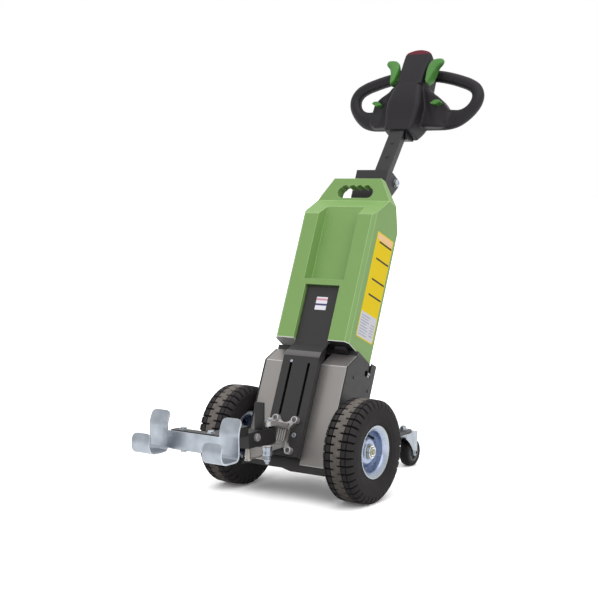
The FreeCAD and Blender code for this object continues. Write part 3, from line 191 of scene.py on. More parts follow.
class Graph:
    """The node tree of one material or world."""

    def __init__(self, tree: bpy.types.NodeTree) -> None:
        """Keeps the tree and empties it."""
        self.tree = tree
        tree.nodes.clear()

    def node(self, kind: str, settings: dict[str, Any] | None = None,
             inputs: dict[int | str, Any] | None = None) -> NodeHandle:
        """Adds a node.

        Args:
            kind: The node's type.
            settings: Attributes of the node, such as its operation, which are set first.
            inputs: Socket names or numbers with their values or wires.

        Returns:
            A handle on the new node.
        """
        made = self.tree.nodes.new(kind)
        for key, value in (settings or {}).items():
            setattr(made, key, value)
        for key, value in (inputs or {}).items():
            socket = made.inputs[key]
            if isinstance(value, Wire):
                self.tree.links.new(value.socket, socket)
            elif isinstance(value, tuple) and socket.type == "RGBA":
                socket.default_value = (*value, 1.0)
            else:
                socket.default_value = value
        return NodeHandle(self, made)

    def place(self) -> Wire:
        """Object coordinates, in metres."""
        return self.node("ShaderNodeTexCoord").out("Object")

    def axes(self) -> tuple[Wire, Wire, Wire]:
        """The three object coordinates as separate wires."""
        split = self.node("ShaderNodeSeparateXYZ", None, {"Vector": self.place()})
        return split.out("X"), split.out("Y"), split.out("Z")

    def upright(self, lean: float) -> tuple[Wire, Wire, Wire]:
        """The object coordinates in a frame that leans back.

        Args:
            lean: The frame's lean from the vertical towards +Y, in degrees.

        Returns:
            Distances across, towards the operator and up the lean, in metres.
        """
        x, y, z = self.axes()
        sine, cosine = math.sin(math.radians(lean)), math.cos(math.radians(lean))
        return x, y * cosine - z * sine, y * sine + z * cosine

    def noise(self, scale: float, detail: float = FINE_DETAIL,
              stretch: Triple = (1.0, 1.0, 1.0), turn: float = 0.0) -> Wire:
        """Noise on object coordinates.

        Args:
            scale: Features per metre.
            detail: Octaves.
            stretch: Factors on the coordinates.
            turn: Rotation of the coordinates about X, in degrees.

        Returns:
            The noise, about 0.5.
        """
        mapping = self.node("ShaderNodeMapping", None, {
            "Vector": self.place(), "Rotation": (math.radians(turn), 0.0, 0.0)})
        scaled = self.node("ShaderNodeVectorMath", {"operation": "MULTIPLY"},
                           {0: mapping.out(), 1: stretch})
        return self.node("ShaderNodeTexNoise", None, {
            "Vector": scaled.out(), "Scale": scale, "Detail": detail}).out("Fac")

    def blend(self, factor: Wire, first: Colour | Wire, second: Colour | Wire) -> Wire:
        """Mix of two colours: the first where the factor is 0, the second where it is 1."""
        mix = self.node("ShaderNodeMix", {"data_type": "RGBA"}, {0: factor, 6: first, 7: second})
        return mix.out(2)

    def bump(self, height: Wire, distance: float) -> Wire:
        """Normal of a bumped surface, where a height of 1 stands for a distance in metres."""
        return self.node("ShaderNodeBump", None, {
            "Strength": 1.0, "Distance": distance, "Height": height}).out()


# ---- finishes
Tint = Colour | Wire


def shade(colour: Colour, factor: float) -> Colour:
    """A colour with each channel times a factor, kept at 1 or less."""
    red, green, blue = (min(level * factor, 1.0) for level in colour)
    return red, green, blue


@dataclass(frozen=True)
class Finish:
    """A plain surface: one colour, a little mottling, a fine grain and, where it has an edge
    colour, a highlight painted on its rounded edges.
    """

    name: str
    colour: Colour
    roughness: float = 0.5
    metallic: float = 0.0
    mottle: float = 0.0
    mottle_scale: float = 30.0
    grain: float = 0.0
    grain_scale: float = 900.0
    roughness_spread: float = 0.06
    specular: float = 0.5
    # lighter colour painted on the outer rounds of edges as a highlight, or none
    edge: Colour | None = None

    def mottled(self, graph: Graph, factor: Wire) -> Wire:
        """The colour made darker and lighter by the mottling's share."""
        return graph.blend(factor, shade(self.colour, 1 - self.mottle),
                           shade(self.colour, 1 + self.mottle))

    def base(self, graph: Graph) -> Tint:
        """Base colour.

        Args:
            graph: The material's graph.

        Returns:
            A colour or a wire.
        """
        if not self.mottle:
            return self.colour
        return self.mottled(graph, graph.noise(self.mottle_scale, BROAD_DETAIL))

    def rough(self, graph: Graph) -> Wire:
        """Roughness, a little uneven."""
        spread = self.roughness_spread
        return graph.noise(ROUGH_SCALE, BROAD_DETAIL) * (2 * spread) + (self.roughness - spread)

    def normal(self, graph: Graph) -> Wire | None:
        """Normal of the fine grain.

        Args:
            graph: The material's graph.

        Returns:
            The bumped normal, or none where the finish has no grain.
        """
        if not self.grain:
            return None
        return graph.bump(graph.noise(self.grain_scale), self.grain * MM)

    def coloured(self, graph: Graph) -> Tint:
        """Base colour, with a lighter colour painted on the rounded edges as a highlight where the
        finish has one.

        Args:
            graph: The material's graph.

        Returns:
            A colour or a wire.
        """
        colour = self.base(graph)
        if self.edge is None:
            return colour
        # mask of the outer rounds, where the edge colour is painted as a highlight
        highlight_mask = graph.node("ShaderNodeAttribute", {"attribute_name": HIGHLIGHT_EDGE_MARK})
        return graph.blend(highlight_mask.out("Fac"), colour, self.edge)

    def material(self) -> bpy.types.Material:
        """The finish as a material, made once.

        Returns:
            The material.
        """
        label = self.name + "_finish"
        known = bpy.data.materials.get(label)
        if known:
            return known
        made = bpy.data.materials.new(label)
        made.use_nodes = True
        graph = Graph(made.node_tree)
        inputs: dict[int | str, Any] = {
            "Base Color": self.coloured(graph), "Roughness": self.rough(graph),
            "Metallic": self.metallic, "Specular IOR Level": self.specular}
        normal = self.normal(graph)
        if normal is not None:
            inputs["Normal"] = normal
        surface = graph.node("ShaderNodeBsdfPrincipled", None, inputs)
        graph.node("ShaderNodeOutputMaterial", None, {"Surface": surface.out("BSDF")})
        return made


@dataclass(frozen=True)
class BrushedSheet(Finish):
    """Stainless sheet brushed along the mast's lean."""

    lean: float = 22.65
    streak_detail: float = 4.0
    streaks_per_metre: Triple = (900.0, 40.0, 9.0)
    streak_spread: float = 0.1

    def streaks(self, graph: Graph) -> Wire:
        """Long fine streaks up the sheet."""
        return graph.noise(1.0, self.streak_detail, self.streaks_per_metre, -self.lean)

    def base(self, graph: Graph) -> Tint:
        """Streaked colour."""
        return self.mottled(graph, self.streaks(graph))

    def rough(self, graph: Graph) -> Wire:
        """Roughness that follows the streaks."""
        spread = self.streak_spread
        return self.streaks(graph) * (2 * spread) + (self.roughness - spread)

    def normal(self, graph: Graph) -> Wire | None:
        """Shallow brush lines."""
        return graph.bump(self.streaks(graph), self.grain * MM)


@dataclass(frozen=True)
class CaseMoulding(Finish):
    """Battery case: coloured sides, a pale seam low down and a dark underside."""

    lean: float = 22.65
    front: float = -103.6
    bottom_at_front: float = 379.0
    bottom_fall: float = 0.218
    under_height: Pair = (0.5, 0.9)
    seam_height: Pair = (2.2, 3.0)
    pale_to_dark: Pair = (-25.0, -15.0)
    seam_colour: Colour = (0.60, 0.62, 0.57)
    pale_under: Colour = (0.42, 0.42, 0.41)
    dark_under: Colour = (0.012, 0.011, 0.012)

    def coloured(self, graph: Graph) -> Wire:
        """Sides, seam and underside, which is pale on its left half and dark on its right.

        Each begins where a point's height over the sloping bottom, measured up the
        battery, passes its level: up + fall x depth - the bottom's own height.

        Args:
            graph: The material's graph.

        Returns:
            The colour.
        """
        across, depth, up = graph.upright(self.lean)
        bottom = self.bottom_at_front + self.bottom_fall * self.front
        above = up + depth * self.bottom_fall - bottom * MM
        under = graph.blend(across.step_mm(*self.pale_to_dark), self.pale_under, self.dark_under)
        seamed = graph.blend(above.step_mm(*self.seam_height), self.seam_colour,
                             super().coloured(graph))
        return graph.blend(above.step_mm(*self.under_height), under, seamed)


@dataclass(frozen=True)
class TreadRubber(Finish):
    """Tyre rubber: worn brownish on the middle rib, with shade painted into the grooves."""

    mid_x: float = 190.7
    axle_height: float = 130.0
    mottle_scale: float = 60.0
    mottle_gain: float = 1.6
    blocks: int = 40
    groove: Pair = (1.4, 2.6)
    groove_from: Pair = (5.0, 6.5)
    splits: tuple[float, ...] = (15.5, 28.6)
    split_half: Pair = (0.6, 1.5)
    shoulder_from: float = 111.5
    shoulder_blur: float = 1.03
    rib_half: Pair = (13.0, 16.0)
    rib_colour: Colour = (0.150, 0.134, 0.121)
    # near black, painted into the grooves as their shade
    groove_shade_colour: Colour = (0.004, 0.0035, 0.004)
    dust_scale: float = 90.0
    dust_detail: float = 4.0
    dust_level: Pair = (0.9, 0.3)
    dust_gain: float = 2.4
    dust_share: float = 0.55

    def cut(self, beside: Wire, away: Wire, turn: Wire) -> Wire:
        """Where the tread is cut, 0 to 1: the mask of the painted groove shade.

        Cross grooves lie where the angle folded on the pitch, times the radius, is
        under the half width; two round splits lie at set distances from mid-tyre.

        Args:
            beside: Signed distance from mid-tyre, outboard positive.
            away: The same without its sign.
            turn: Angle about the axle.

        Returns:
            The mask.
        """
        pitch = 2 * math.pi / self.blocks
        offset = (beside.step(-1e-5, 1e-5) - 0.5) * (0.5 * pitch)
        fold = (turn - offset).fold(pitch / 2) * (self.axle_height * MM)
        cut = (1.0 - fold.step_mm(*self.groove)) * away.step_mm(*self.groove_from)
        for place in self.splits:
            cut = cut.maximum(1.0 - abs(away - place * MM).step_mm(*self.split_half))
        return cut

    def base(self, graph: Graph) -> Wire:
        """Rubber with a dusty middle rib and shade painted dark into the grooves.

        Args:
            graph: The material's graph.

        Returns:
            The colour.
        """
        x, y, z = graph.axes()
        up = z - self.axle_height * MM
        beside = abs(x) - self.mid_x * MM
        away = abs(beside)
        edge = (self.shoulder_from * MM) ** 2
        outer = (y * y + up * up).step(edge, edge * self.shoulder_blur)
        cut = self.cut(beside, away, y.angle(up)) * outer
        rib = 1.0 - away.step_mm(*self.rib_half)
        spread, least = self.dust_level
        dust = graph.noise(self.dust_scale, self.dust_detail) * spread + least
        dust = dust.minimum(1.0)
        plain = graph.blend(graph.noise(self.mottle_scale, BROAD_DETAIL), self.colour,
                            shade(self.colour, self.mottle_gain))
        blocks = graph.blend(outer * dust * self.dust_share, plain,
                             shade(self.colour, self.dust_gain))
        ribbed = graph.blend(rib * outer * dust, blocks, self.rib_colour)
        # painted shade: the grooves are coloured near black
        return graph.blend(cut, ribbed, self.groove_shade_colour)


@dataclass(frozen=True)
class RibbedCasting(Finish):
    """Blasted casting in its own colour on the bolted plate, with painted shade darkening its drum
    and painted highlights on the drum's vertical ribs.
    """

    lean: float = 22.65
    drum_behind: Pair = (-147.0, -144.0)
    drum_half: Pair = (18.0, 21.0)
    drum_bottom: Pair = (84.0, 87.0)
    drum_top: Pair = (149.0, 152.0)
    # painted shade of the drum, and below it the gain of the highlights painted on its ribs
    shaded_drum_colour: Colour = (0.13, 0.123, 0.12)
    rib_pitch: float = 6.4
    rib_flank: Pair = (0.6, 2.6)
    rib_rise: float = 1.2
    rib_highlight_gain: float = 2.6

    def ribs(self, graph: Graph) -> tuple[Wire, Wire]:
        """The drum and its ribs, each as a mask.

        A rib's wave is the distance across, folded on the ribs' pitch.

        Args:
            graph: The material's graph.

        Returns:
            How far a point lies on the drum, and on a rib, both 0 to 1.
        """
        across, depth, up = graph.upright(self.lean)
        face = depth.step_mm(*self.drum_behind) * (1.0 - abs(across).step_mm(*self.drum_half))
        band = up.step_mm(*self.drum_bottom) * (1.0 - up.step_mm(*self.drum_top))
        wave = across.fold(self.rib_pitch / 2 * MM).step_mm(*self.rib_flank)
        return face * band, wave

    def base(self, graph: Graph) -> Wire:
        """Plate in the casting's colour; drum in a painted shade with painted highlights on its
        ribs.

        Args:
            graph: The material's graph.

        Returns:
            The colour.
        """
        drum, wave = self.ribs(graph)
        # painted shade on the drum, painted highlights on its ribs
        ribbed = graph.blend(wave, self.shaded_drum_colour, shade(self.shaded_drum_colour, self.rib_highlight_gain))
        return graph.blend(drum, super().base(graph), ribbed)

    def normal(self, graph: Graph) -> Wire | None:
        """Grain, and the ribs' rise on the drum.

        Args:
            graph: The material's graph.

        Returns:
            The bumped normal.
        """
        drum, wave = self.ribs(graph)
        height = graph.noise(self.grain_scale) * (self.grain * MM)
        return graph.bump(height + drum * wave * (self.rib_rise * MM), 1.0)


@dataclass(frozen=True)
class RimZinc(Finish):
    """Zinc painted darker and bluer inside the rim's dish than on its flange, as painted shade in
    the dish.
    """

    axle_height: float = 130.0
    dish_radius: float = 57.0
    dish_blur: Pair = (0.97, 1.06)
    # painted shade: the dish's darker, bluer colour
    dish_shade_colour: Colour = (0.27, 0.315, 0.42)
    dish_gain: float = 1.35

    def base(self, graph: Graph) -> Wire:
        """Flange colour outside the dish's radius, the painted dish shade inside.

        Args:
            graph: The material's graph.

        Returns:
            The colour.
        """
        _, y, z = graph.axes()
        up = z - self.axle_height * MM
        edge = (self.dish_radius * MM) ** 2
        inner, outer = self.dish_blur
        outside = (y * y + up * up).step(edge * inner, edge * outer)
        dish = graph.blend(graph.noise(self.mottle_scale, BROAD_DETAIL), self.dish_shade_colour,
                           shade(self.dish_shade_colour, self.dish_gain))
        return graph.blend(outside, dish, super().base(graph))


class Coat(Enum):
    """The machine's finishes."""

    # edge: painted highlight on the rounded edges and along the channel's wide front bend
    BLACK_PAINT = Finish(
        "black_powder_coat", (0.024, 0.0225, 0.0233), roughness=0.45, grain=0.05,
        grain_scale=700.0, mottle=0.08, specular=0.35, edge=(0.10, 0.095, 0.097))
    # a darker copy of the black paint: painted shade on the cheeks, the drawbar and the upright
    # plate
    SHADED_BLACK_PAINT = Finish(
        "shaded_black_paint", (0.013, 0.0125, 0.0125), roughness=0.46, grain=0.05,
        grain_scale=700.0, mottle=0.08, specular=0.35)
    # edge: painted highlight on the covers' bends
    STAINLESS = BrushedSheet(
        "brushed_stainless", (0.30, 0.283, 0.272), roughness=0.42, metallic=0.75,
        mottle=0.07, grain=0.02, edge=(0.62, 0.61, 0.60))
    # edge: painted highlight on the rounded edges of the hooks and the other zinc parts
    ZINC = Finish(
        "bright_zinc", (0.32, 0.35, 0.39), roughness=0.30, metallic=0.85, mottle=0.42,
        mottle_scale=32.0, grain=0.03, grain_scale=300.0, edge=(0.58, 0.62, 0.66))
    RIM = RimZinc(
        "rim_zinc", (0.35, 0.385, 0.43), roughness=0.28, metallic=0.85, mottle=0.07,
        mottle_scale=55.0, grain=0.03, grain_scale=300.0)
    HUB_NUT = Finish(
        "passivated_nut", (0.25, 0.245, 0.165), roughness=0.36, metallic=0.7, mottle=0.12)
    CAST = RibbedCasting(
        "silver_casting", (0.44, 0.43, 0.42), roughness=0.38, metallic=0.6, grain=0.18,
        grain_scale=420.0, mottle=0.1)
    FITTING = Finish(
        "turned_fitting", (0.34, 0.325, 0.30), roughness=0.36, metallic=0.8, grain=0.02)
    DULL = Finish(
        "dull_zinc", (0.30, 0.29, 0.295), roughness=0.5, metallic=0.6, mottle=0.12,
        grain=0.03)
    SCREW = Finish("socket_screw", (0.13, 0.13, 0.14), roughness=0.35, metallic=0.8)
    # near black that paints shade: in the rim's hand holes and along the head's cover step
    PAINTED_SHADE = Finish("painted_shade_black", (0.010, 0.010, 0.010), roughness=0.8)
    TYRE = TreadRubber(
        "tyre_rubber", (0.0155, 0.014, 0.0145), roughness=0.70, grain=0.06,
        grain_scale=500.0, specular=0.12)
    TREAD = Finish(
        "caster_tread", (0.014, 0.013, 0.014), roughness=0.60, grain=0.05,
        grain_scale=600.0, specular=0.12)
    HUB = Finish("caster_centre", (0.09, 0.09, 0.095), roughness=0.5, grain=0.03)
    # edge: painted highlight on the battery case's rounded edges
    GREEN = CaseMoulding(
        "green_moulding", (0.180, 0.322, 0.093), roughness=0.46, grain=0.035,
        grain_scale=1400.0, mottle=0.03, specular=0.4, edge=(0.47, 0.64, 0.36))
    # a darker copy of the green moulding: painted shade on the levers and slope buttons
    SHADED_GREEN = Finish(
        "shaded_green_moulding", (0.062, 0.21, 0.036), roughness=0.42, grain=0.02, mottle=0.03,
        specular=0.35)
    BLACK = Finish(
        "black_moulding", (0.0135, 0.0115, 0.0145), roughness=0.48, grain=0.06,
        grain_scale=1100.0, mottle=0.06, specular=0.25)
    RED = Finish(
        "red_moulding", (0.125, 0.006, 0.020), roughness=0.42, grain=0.02, specular=0.25)
    YELLOW = Finish("yellow_film", (0.78, 0.57, 0.004), roughness=0.40, specular=0.1)
    PALE = Finish("pale_film", (0.60, 0.61, 0.65), roughness=0.40, specular=0.2)
    PEACH = Finish("peach_film", (0.80, 0.50, 0.22), roughness=0.36)
    TAG = Finish("tag_film", (0.72, 0.71, 0.78), roughness=0.36, specular=0.2)
    ROSE = Finish("rose_film", (0.62, 0.26, 0.32), roughness=0.36)
    NAVY = Finish("navy_film", (0.03, 0.035, 0.12), roughness=0.36)
    FAINT_INK = Finish("faint_ink", (0.30, 0.30, 0.40), roughness=0.4)
    INK = Finish("dark_film", (0.02, 0.018, 0.015), roughness=0.5, specular=0.2)

    def material(self) -> bpy.types.Material:
        """The finish's material."""
        return self.value.material()


# ---- shapes in numpy
@dataclass
class Shell:
    """Points in millimetres and the faces between them."""

    points: Array
    faces: list[list[int]]

    def moved(self, matrix: Array) -> "Shell":
        """The shell under a 4 by 4 matrix."""
        turned = self.points @ matrix[:3, :3].T + matrix[:3, 3]
        return Shell(turned, self.faces)

    def shifted(self, x: float = 0.0, y: float = 0.0, z: float = 0.0) -> "Shell":
        """The shell moved without turning."""
        return Shell(self.points + np.array([x, y, z]), self.faces)

    def mirrored(self) -> "Shell":
        """The shell on the other side of x = 0."""
        flipped = self.points * np.array([-1.0, 1.0, 1.0])
        return Shell(flipped, [face[::-1] for face in self.faces])


def joined(shells: Iterable[Shell]) -> Shell:
    """Several shells as one.

    Args:
        shells: The shells to put together.

    Returns:
        One shell with all the points and faces.
    """
    points: list[Array] = []
    faces: list[list[int]] = []
    count = 0
    for shell in shells:
        points.append(shell.points)
        faces.extend([[index + count for index in face] for face in shell.faces])
        count += len(shell.points)
    return Shell(np.concatenate(points), faces)


def both_sides(shell: Shell) -> Shell:
    """A shell and its mirror image."""
    return joined([shell, shell.mirrored()])


def lattice(grid: Array, wrap_u: bool = False, wrap_v: bool = True,
            cap: bool = False) -> Shell:
    """Quads between the neighbours of a grid of points.

    Args:
        grid: Points by (u, v, xyz).
        wrap_u: Whether the last row joins the first.
        wrap_v: Whether the last column joins the first.
        cap: Whether the first and last rows are closed by a face.

    Returns:
        The surface.
    """
    rows, columns = grid.shape[:2]
    i, j = np.meshgrid(np.arange(rows if wrap_u else rows - 1),
                       np.arange(columns if wrap_v else columns - 1), indexing="ij")
    below, beside = (i + 1) % rows, (j + 1) % columns
    quads = np.stack([i * columns + j, below * columns + j, below * columns + beside,
                      i * columns + beside], -1).reshape(-1, 4)
    faces = quads.tolist()
    if cap:
        faces.append(list(range(columns))[::-1])
        faces.append([(rows - 1) * columns + k for k in range(columns)])
    return Shell(grid.reshape(-1, 3).astype(float), faces)


def revolved(profile: Outline, steps: int, closed: bool = True) -> Shell:
    """Turns a profile about the X axis: y = r cos t, z = r sin t.

    Args:
        profile: (axial, radius) points.
        steps: Points round the axis.
        closed: Whether the profile is a ring; an open one has its ends on the axis.

    Returns:
        The surface of revolution.
    """
    axial, radius = np.array(profile, float).T
    turn = np.linspace(0, 2 * math.pi, steps, endpoint=False)[:, None]
    grid = np.stack([axial + 0 * turn, radius * np.cos(turn), radius * np.sin(turn)], -1)
    return lattice(grid, wrap_u=True, wrap_v=closed)


def unit(vector: Sequence[float] | Array) -> Array:
    """Vectors scaled to length 1, along the last axis."""
    rows = np.asarray(vector, float)
    return rows / np.linalg.norm(rows, axis=-1, keepdims=True)


def along(shell: Shell, start: Sequence[float], direction: Sequence[float]) -> Shell:
    """Turns a shell's +X axis to a direction and moves its origin.

    Args:
        shell: A shell drawn about the X axis.
        start: Where its origin goes.
        direction: Where its +X axis points.

    Returns:
        The placed shell.
    """
    axis = unit(direction)
    helper = np.array([0.0, 0.0, 1.0]) if abs(axis[2]) < 0.9 else np.array([0.0, 1.0, 0.0])
    side = unit(np.cross(helper, axis))
    matrix = np.eye(4)
    matrix[:3, :3] = np.stack([axis, side, np.cross(axis, side)], -1)
    matrix[:3, 3] = start
    return shell.moved(matrix)


def circle(radius: float, steps: int) -> Array:
    """Points of a circle in a plane: radius (cos t, sin t)."""
    turn = np.linspace(0, 2 * math.pi, steps, endpoint=False)
    return np.stack([radius * np.cos(turn), radius * np.sin(turn)], -1)


def soft_corners(corners: Outline, radius: float | Sequence[float], steps: int,
                 closed: bool = True) -> Array:
    """An outline with each corner cut by a round of quadratic form.

    Each corner P gives points (1-t)^2 A + 2t(1-t) P + t^2 B, where A and B lie on
    the corner's two sides, just short of their middles at most.

    Args:
        corners: Points in a plane.
        radius: Distance from the corner to A and B, one or one for each corner.
        steps: Points for each corner.
        closed: Whether the outline is a ring; an open one keeps its end points.

    Returns:
        The new outline.
    """
    points = np.array(corners, float)
    reach = np.broadcast_to(np.asarray(radius, float), (len(points),))[:, None]
    before, after = np.roll(points, 1, 0) - points, np.roll(points, -1, 0) - points
    room_before = np.linalg.norm(before, axis=1, keepdims=True)
    room_after = np.linalg.norm(after, axis=1, keepdims=True)
    cut_before = np.minimum(reach, room_before * SIDE_SHARE) / room_before
    cut_after = np.minimum(reach, room_after * SIDE_SHARE) / room_after
    start, end = points + before * cut_before, points + after * cut_after
    t = np.linspace(0, 1, steps)[None, :, None]
    curve = ((1 - t) ** 2 * start[:, None] + 2 * t * (1 - t) * points[:, None]
             + t ** 2 * end[:, None])
    if closed:
        return curve.reshape(-1, points.shape[1])
    middle = curve[1:-1].reshape(-1, points.shape[1])
    return np.concatenate([points[:1], middle, points[-1:]])


def filled(outline: Array, gap: float) -> Array:
    """The same ring with points added along its long sides.

    Args:
        outline: A ring of points.
        gap: Longest distance left between two points.

    Returns:
        The ring with the added points.
    """
    parts = []
    for start, end in zip(outline, np.roll(outline, -1, 0)):
        count = math.ceil(float(np.linalg.norm(end - start)) / gap)
        share = np.linspace(0, 1, max(count, 1), endpoint=False)[:, None]
        parts.append(start + (end - start) * share)
    return np.concatenate(parts)


def rectangle(x0: float, x1: float, y0: float, y1: float) -> list[Pair]:
    """The four corners of an upright rectangle, anticlockwise."""
    return [(x0, y0), (x1, y0), (x1, y1), (x0, y1)]


def eased(keys: Sequence[Sequence[float]] | Array, at: Array) -> Array:
    """Smooth values between keys, by a cubic on each span.

    A span's cubic has the values and the slopes of the two keys at its ends:
    (2t^3 - 3t^2 + 1) first + (t^3 - 2t^2 + t) span slope, and the same from the other
    end with 3t^2 - 2t^3 and t^3 - t^2. A key's slope comes from its neighbours.

    Args:
        keys: Rows of (place, value, value ...), by rising place.
        at: Places to work out.

    Returns:
        One row of values for each place.
    """
    table = np.array(keys, float)
    place, values = table[:, 0], table[:, 1:]
    slope = np.gradient(values, place, axis=0)
    index = np.clip(np.searchsorted(place, at, "right") - 1, 0, len(place) - 2)
    span = (place[index + 1] - place[index])[:, None]
    t = (at - place[index])[:, None] / span
    leaving = (t ** 3 - 2 * t ** 2 + t) * span * slope[index]
    arriving = (t ** 3 - t ** 2) * span * slope[index + 1]
    first = (2 * t ** 3 - 3 * t ** 2 + 1) * values[index] + leaving
    second = (3 * t ** 2 - 2 * t ** 3) * values[index + 1] + arriving
    return first + second


def through(points: Sequence[Sequence[float]] | Array, count: int) -> Array:
    """A smooth path through points, at even steps of their run.

    Args:
        points: The points in space.
        count: How many points the path gets.

    Returns:
        The path's points.
    """
    rows = np.array(points, float)
    run = np.concatenate([[0], np.cumsum(np.linalg.norm(np.diff(rows, axis=0), axis=1))])
    return eased(np.c_[run, rows], np.linspace(0, run[-1], count))


def swept(path: Array, profile: Array, up: Sequence[float]) -> Shell:
    """Carries a profile along a path and closes both ends.

    A profile point (a, b) sits at path + a side + b top, where side is up x
    tangent and top is tangent x side.

    Args:
        path: Points of the path.
        profile: (a, b) points, or one such set for each path point.
        up: A direction that the path never runs along.

    Returns:
        The swept surface.
    """
    tangent = unit(np.gradient(path, axis=0))
    side = unit(np.cross(np.array(up, float), tangent))
    top = np.cross(tangent, side)
    shape = np.broadcast_to(profile, (len(path),) + np.shape(profile)[-2:])
    grid = path[:, None] + shape[..., :1] * side[:, None] + shape[..., 1:] * top[:, None]
    return lattice(grid, cap=True)


class Plane(Enum):
    """The axis that a flat outline is pushed along, as the order of the coordinates."""

    X = (2, 0, 1)
    Y = (0, 2, 1)
    Z = (0, 1, 2)


def prism(outline: Outline, low: float, high: float, axis: Plane) -> Shell:
    """A flat outline pushed along an axis.

    Args:
        outline: Points in the plane of the other two axes, in alphabetical order.
        low: Where it starts.
        high: Where it ends.
        axis: The axis.

    Returns:
        The closed prism.
    """
    flat = np.array(outline, float)
    ends = [np.c_[flat, np.full(len(flat), level)] for level in (low, high)]
    grid = np.stack(ends)[..., list(axis.value)]
    return lattice(grid, cap=True)


def block(x0: float, x1: float, y0: float, y1: float, z0: float, z1: float) -> Shell:
    """Box between two corners."""
    return prism(rectangle(x0, x1, y0, y1), z0, z1, Plane.Z)


def turned_about_x(degrees: float, origin: Sequence[float] = (0, 0, 0)) -> Array:
    """Matrix that leans things back by an angle, then moves them.

    Args:
        degrees: Lean from the vertical towards +Y.
        origin: Where the drawn origin goes.

    Returns:
        A 4 by 4 matrix.
    """
    angle = math.radians(degrees)
    matrix = np.eye(4)
    matrix[1, 1], matrix[1, 2] = math.cos(angle), math.sin(angle)
    matrix[2, 1], matrix[2, 2] = -math.sin(angle), math.cos(angle)
    matrix[:3, 3] = origin
    return matrix


def hex_head(across: float, height: float, dome: float = 0.8) -> Shell:
    """Hexagon head with a chamfered crown, standing along +X.

    Args:
        across: Distance across its flats.
        height: Full height.
        dome: Height of the chamfer.

    Returns:
        The head.
    """
    corner = across / math.sqrt(3)
    profile = [(0, 0), (0, corner), (height - dome, corner), (height, corner * 0.86), (height, 0)]
    return revolved(profile, 6, closed=False)


def cap_screw(radius: float, height: float) -> Shell:
    """Round head with a socket in it, standing along +X.

    Args:
        radius: Radius of the head; the socket's is half of it.
        height: Height of the head; the socket is a little over half as deep.

    Returns:
        The head.
    """
    socket, edge = radius * 0.5, 0.8
    profile = [(0, 0), (0, radius), (height - edge, radius), (height - 0.25, radius - 0.25),
               (height, radius - edge), (height, socket), (height * 0.45, socket),
               (height * 0.4, 0)]
    return revolved(profile, 28, closed=False)


def dome_head(radius: float, height: float) -> Shell:
    """Low domed head, standing along +X: height cos t against radius sin t.

    Args:
        radius: Radius of its foot.
        height: Height of its middle.

    Returns:
        The head.
    """
    t = np.linspace(0, math.pi / 2, 8)
    arc = [(height * math.cos(a), radius * math.sin(a)) for a in t]
    return revolved(arc + [(0, 0)], 28, closed=False)


def washer(inner: float, outer: float, height: float) -> Shell:
    """Flat ring standing along +X."""
    return revolved([(0, inner), (0, outer), (height, outer), (height, inner)], 32)


# ---- pieces in the scene
def bevelled(mesh: bmesh.types.BMesh, edges: list[bmesh.types.BMEdge], width: float,
             segments: int) -> None:
    """Bevels edges and marks the outer rounds, where a finish's edge colour paints a highlight.

    Args:
        mesh: The mesh to work on, in metres.
        edges: The edges.
        width: Bevel width in millimetres.
        segments: Faces across the bevel.
    """
    made = bmesh.ops.bevel(mesh, geom=edges, offset=width * MM, segments=segments, profile=0.5,
                           affect="EDGES", clamp_overlap=True, offset_type="OFFSET")
    highlight_layer = mesh.faces.layers.float[HIGHLIGHT_EDGE_MARK]
    for face in made["faces"]:
        if max(edge.calc_face_angle_signed(0.0) for edge in face.edges) > OUTER_TURN:
            face[highlight_layer] = 1.0


def edge_round(mesh: bmesh.types.BMesh, width: float, segments: int, angle: float) -> None:
    """Bevels the edges that are sharper than an angle.

    Args:
        mesh: The mesh to work on, in metres.
        width: Bevel width in millimetres.
        segments: Faces across the bevel.
        angle: Smallest angle between faces, in degrees.
    """
    limit = math.radians(angle)
    edges = [edge for edge in mesh.edges
             if len(edge.link_faces) == 2 and edge.calc_face_angle(0.0) > limit]
    bevelled(mesh, edges, width, segments)


def finish_mesh(piece: bpy.types.Object, mesh: bmesh.types.BMesh, smooth: float,
                weighted: bool) -> None:
    """Writes a worked mesh into a piece and smooths it by angle.

    Args:
        piece: The object that gets the mesh.
        mesh: The worked mesh, freed here.
        smooth: Angle under which neighbouring faces are smoothed, in degrees.
        weighted: Whether large faces rule the normals.
    """
    mesh.to_mesh(piece.data)
    mesh.free()
    piece.data.shade_smooth()
    piece.data.set_sharp_from_angle(angle=math.radians(smooth))
    if weighted:
        modifier = piece.modifiers.new("large_faces_first", "WEIGHTED_NORMAL")
        modifier.keep_sharp = True


def settle(piece: bpy.types.Object, body: str, slot: str, coat: Coat,
           replaces: Sequence[str]) -> None:
    """Gives a piece its finish and its body.

    Args:
        piece: The piece.
        body: The body that it rides on.
        slot: The record's material slot; not used.
        coat: Its finish.
        replaces: Nodes that it stands for.
    """
    piece.data.materials.clear()
    piece.data.materials.append(coat.material())
    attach(piece, body)
    if replaces:
        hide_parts(*replaces)
    LOG.info("piece %s: %d faces", piece.name, len(piece.data.polygons))


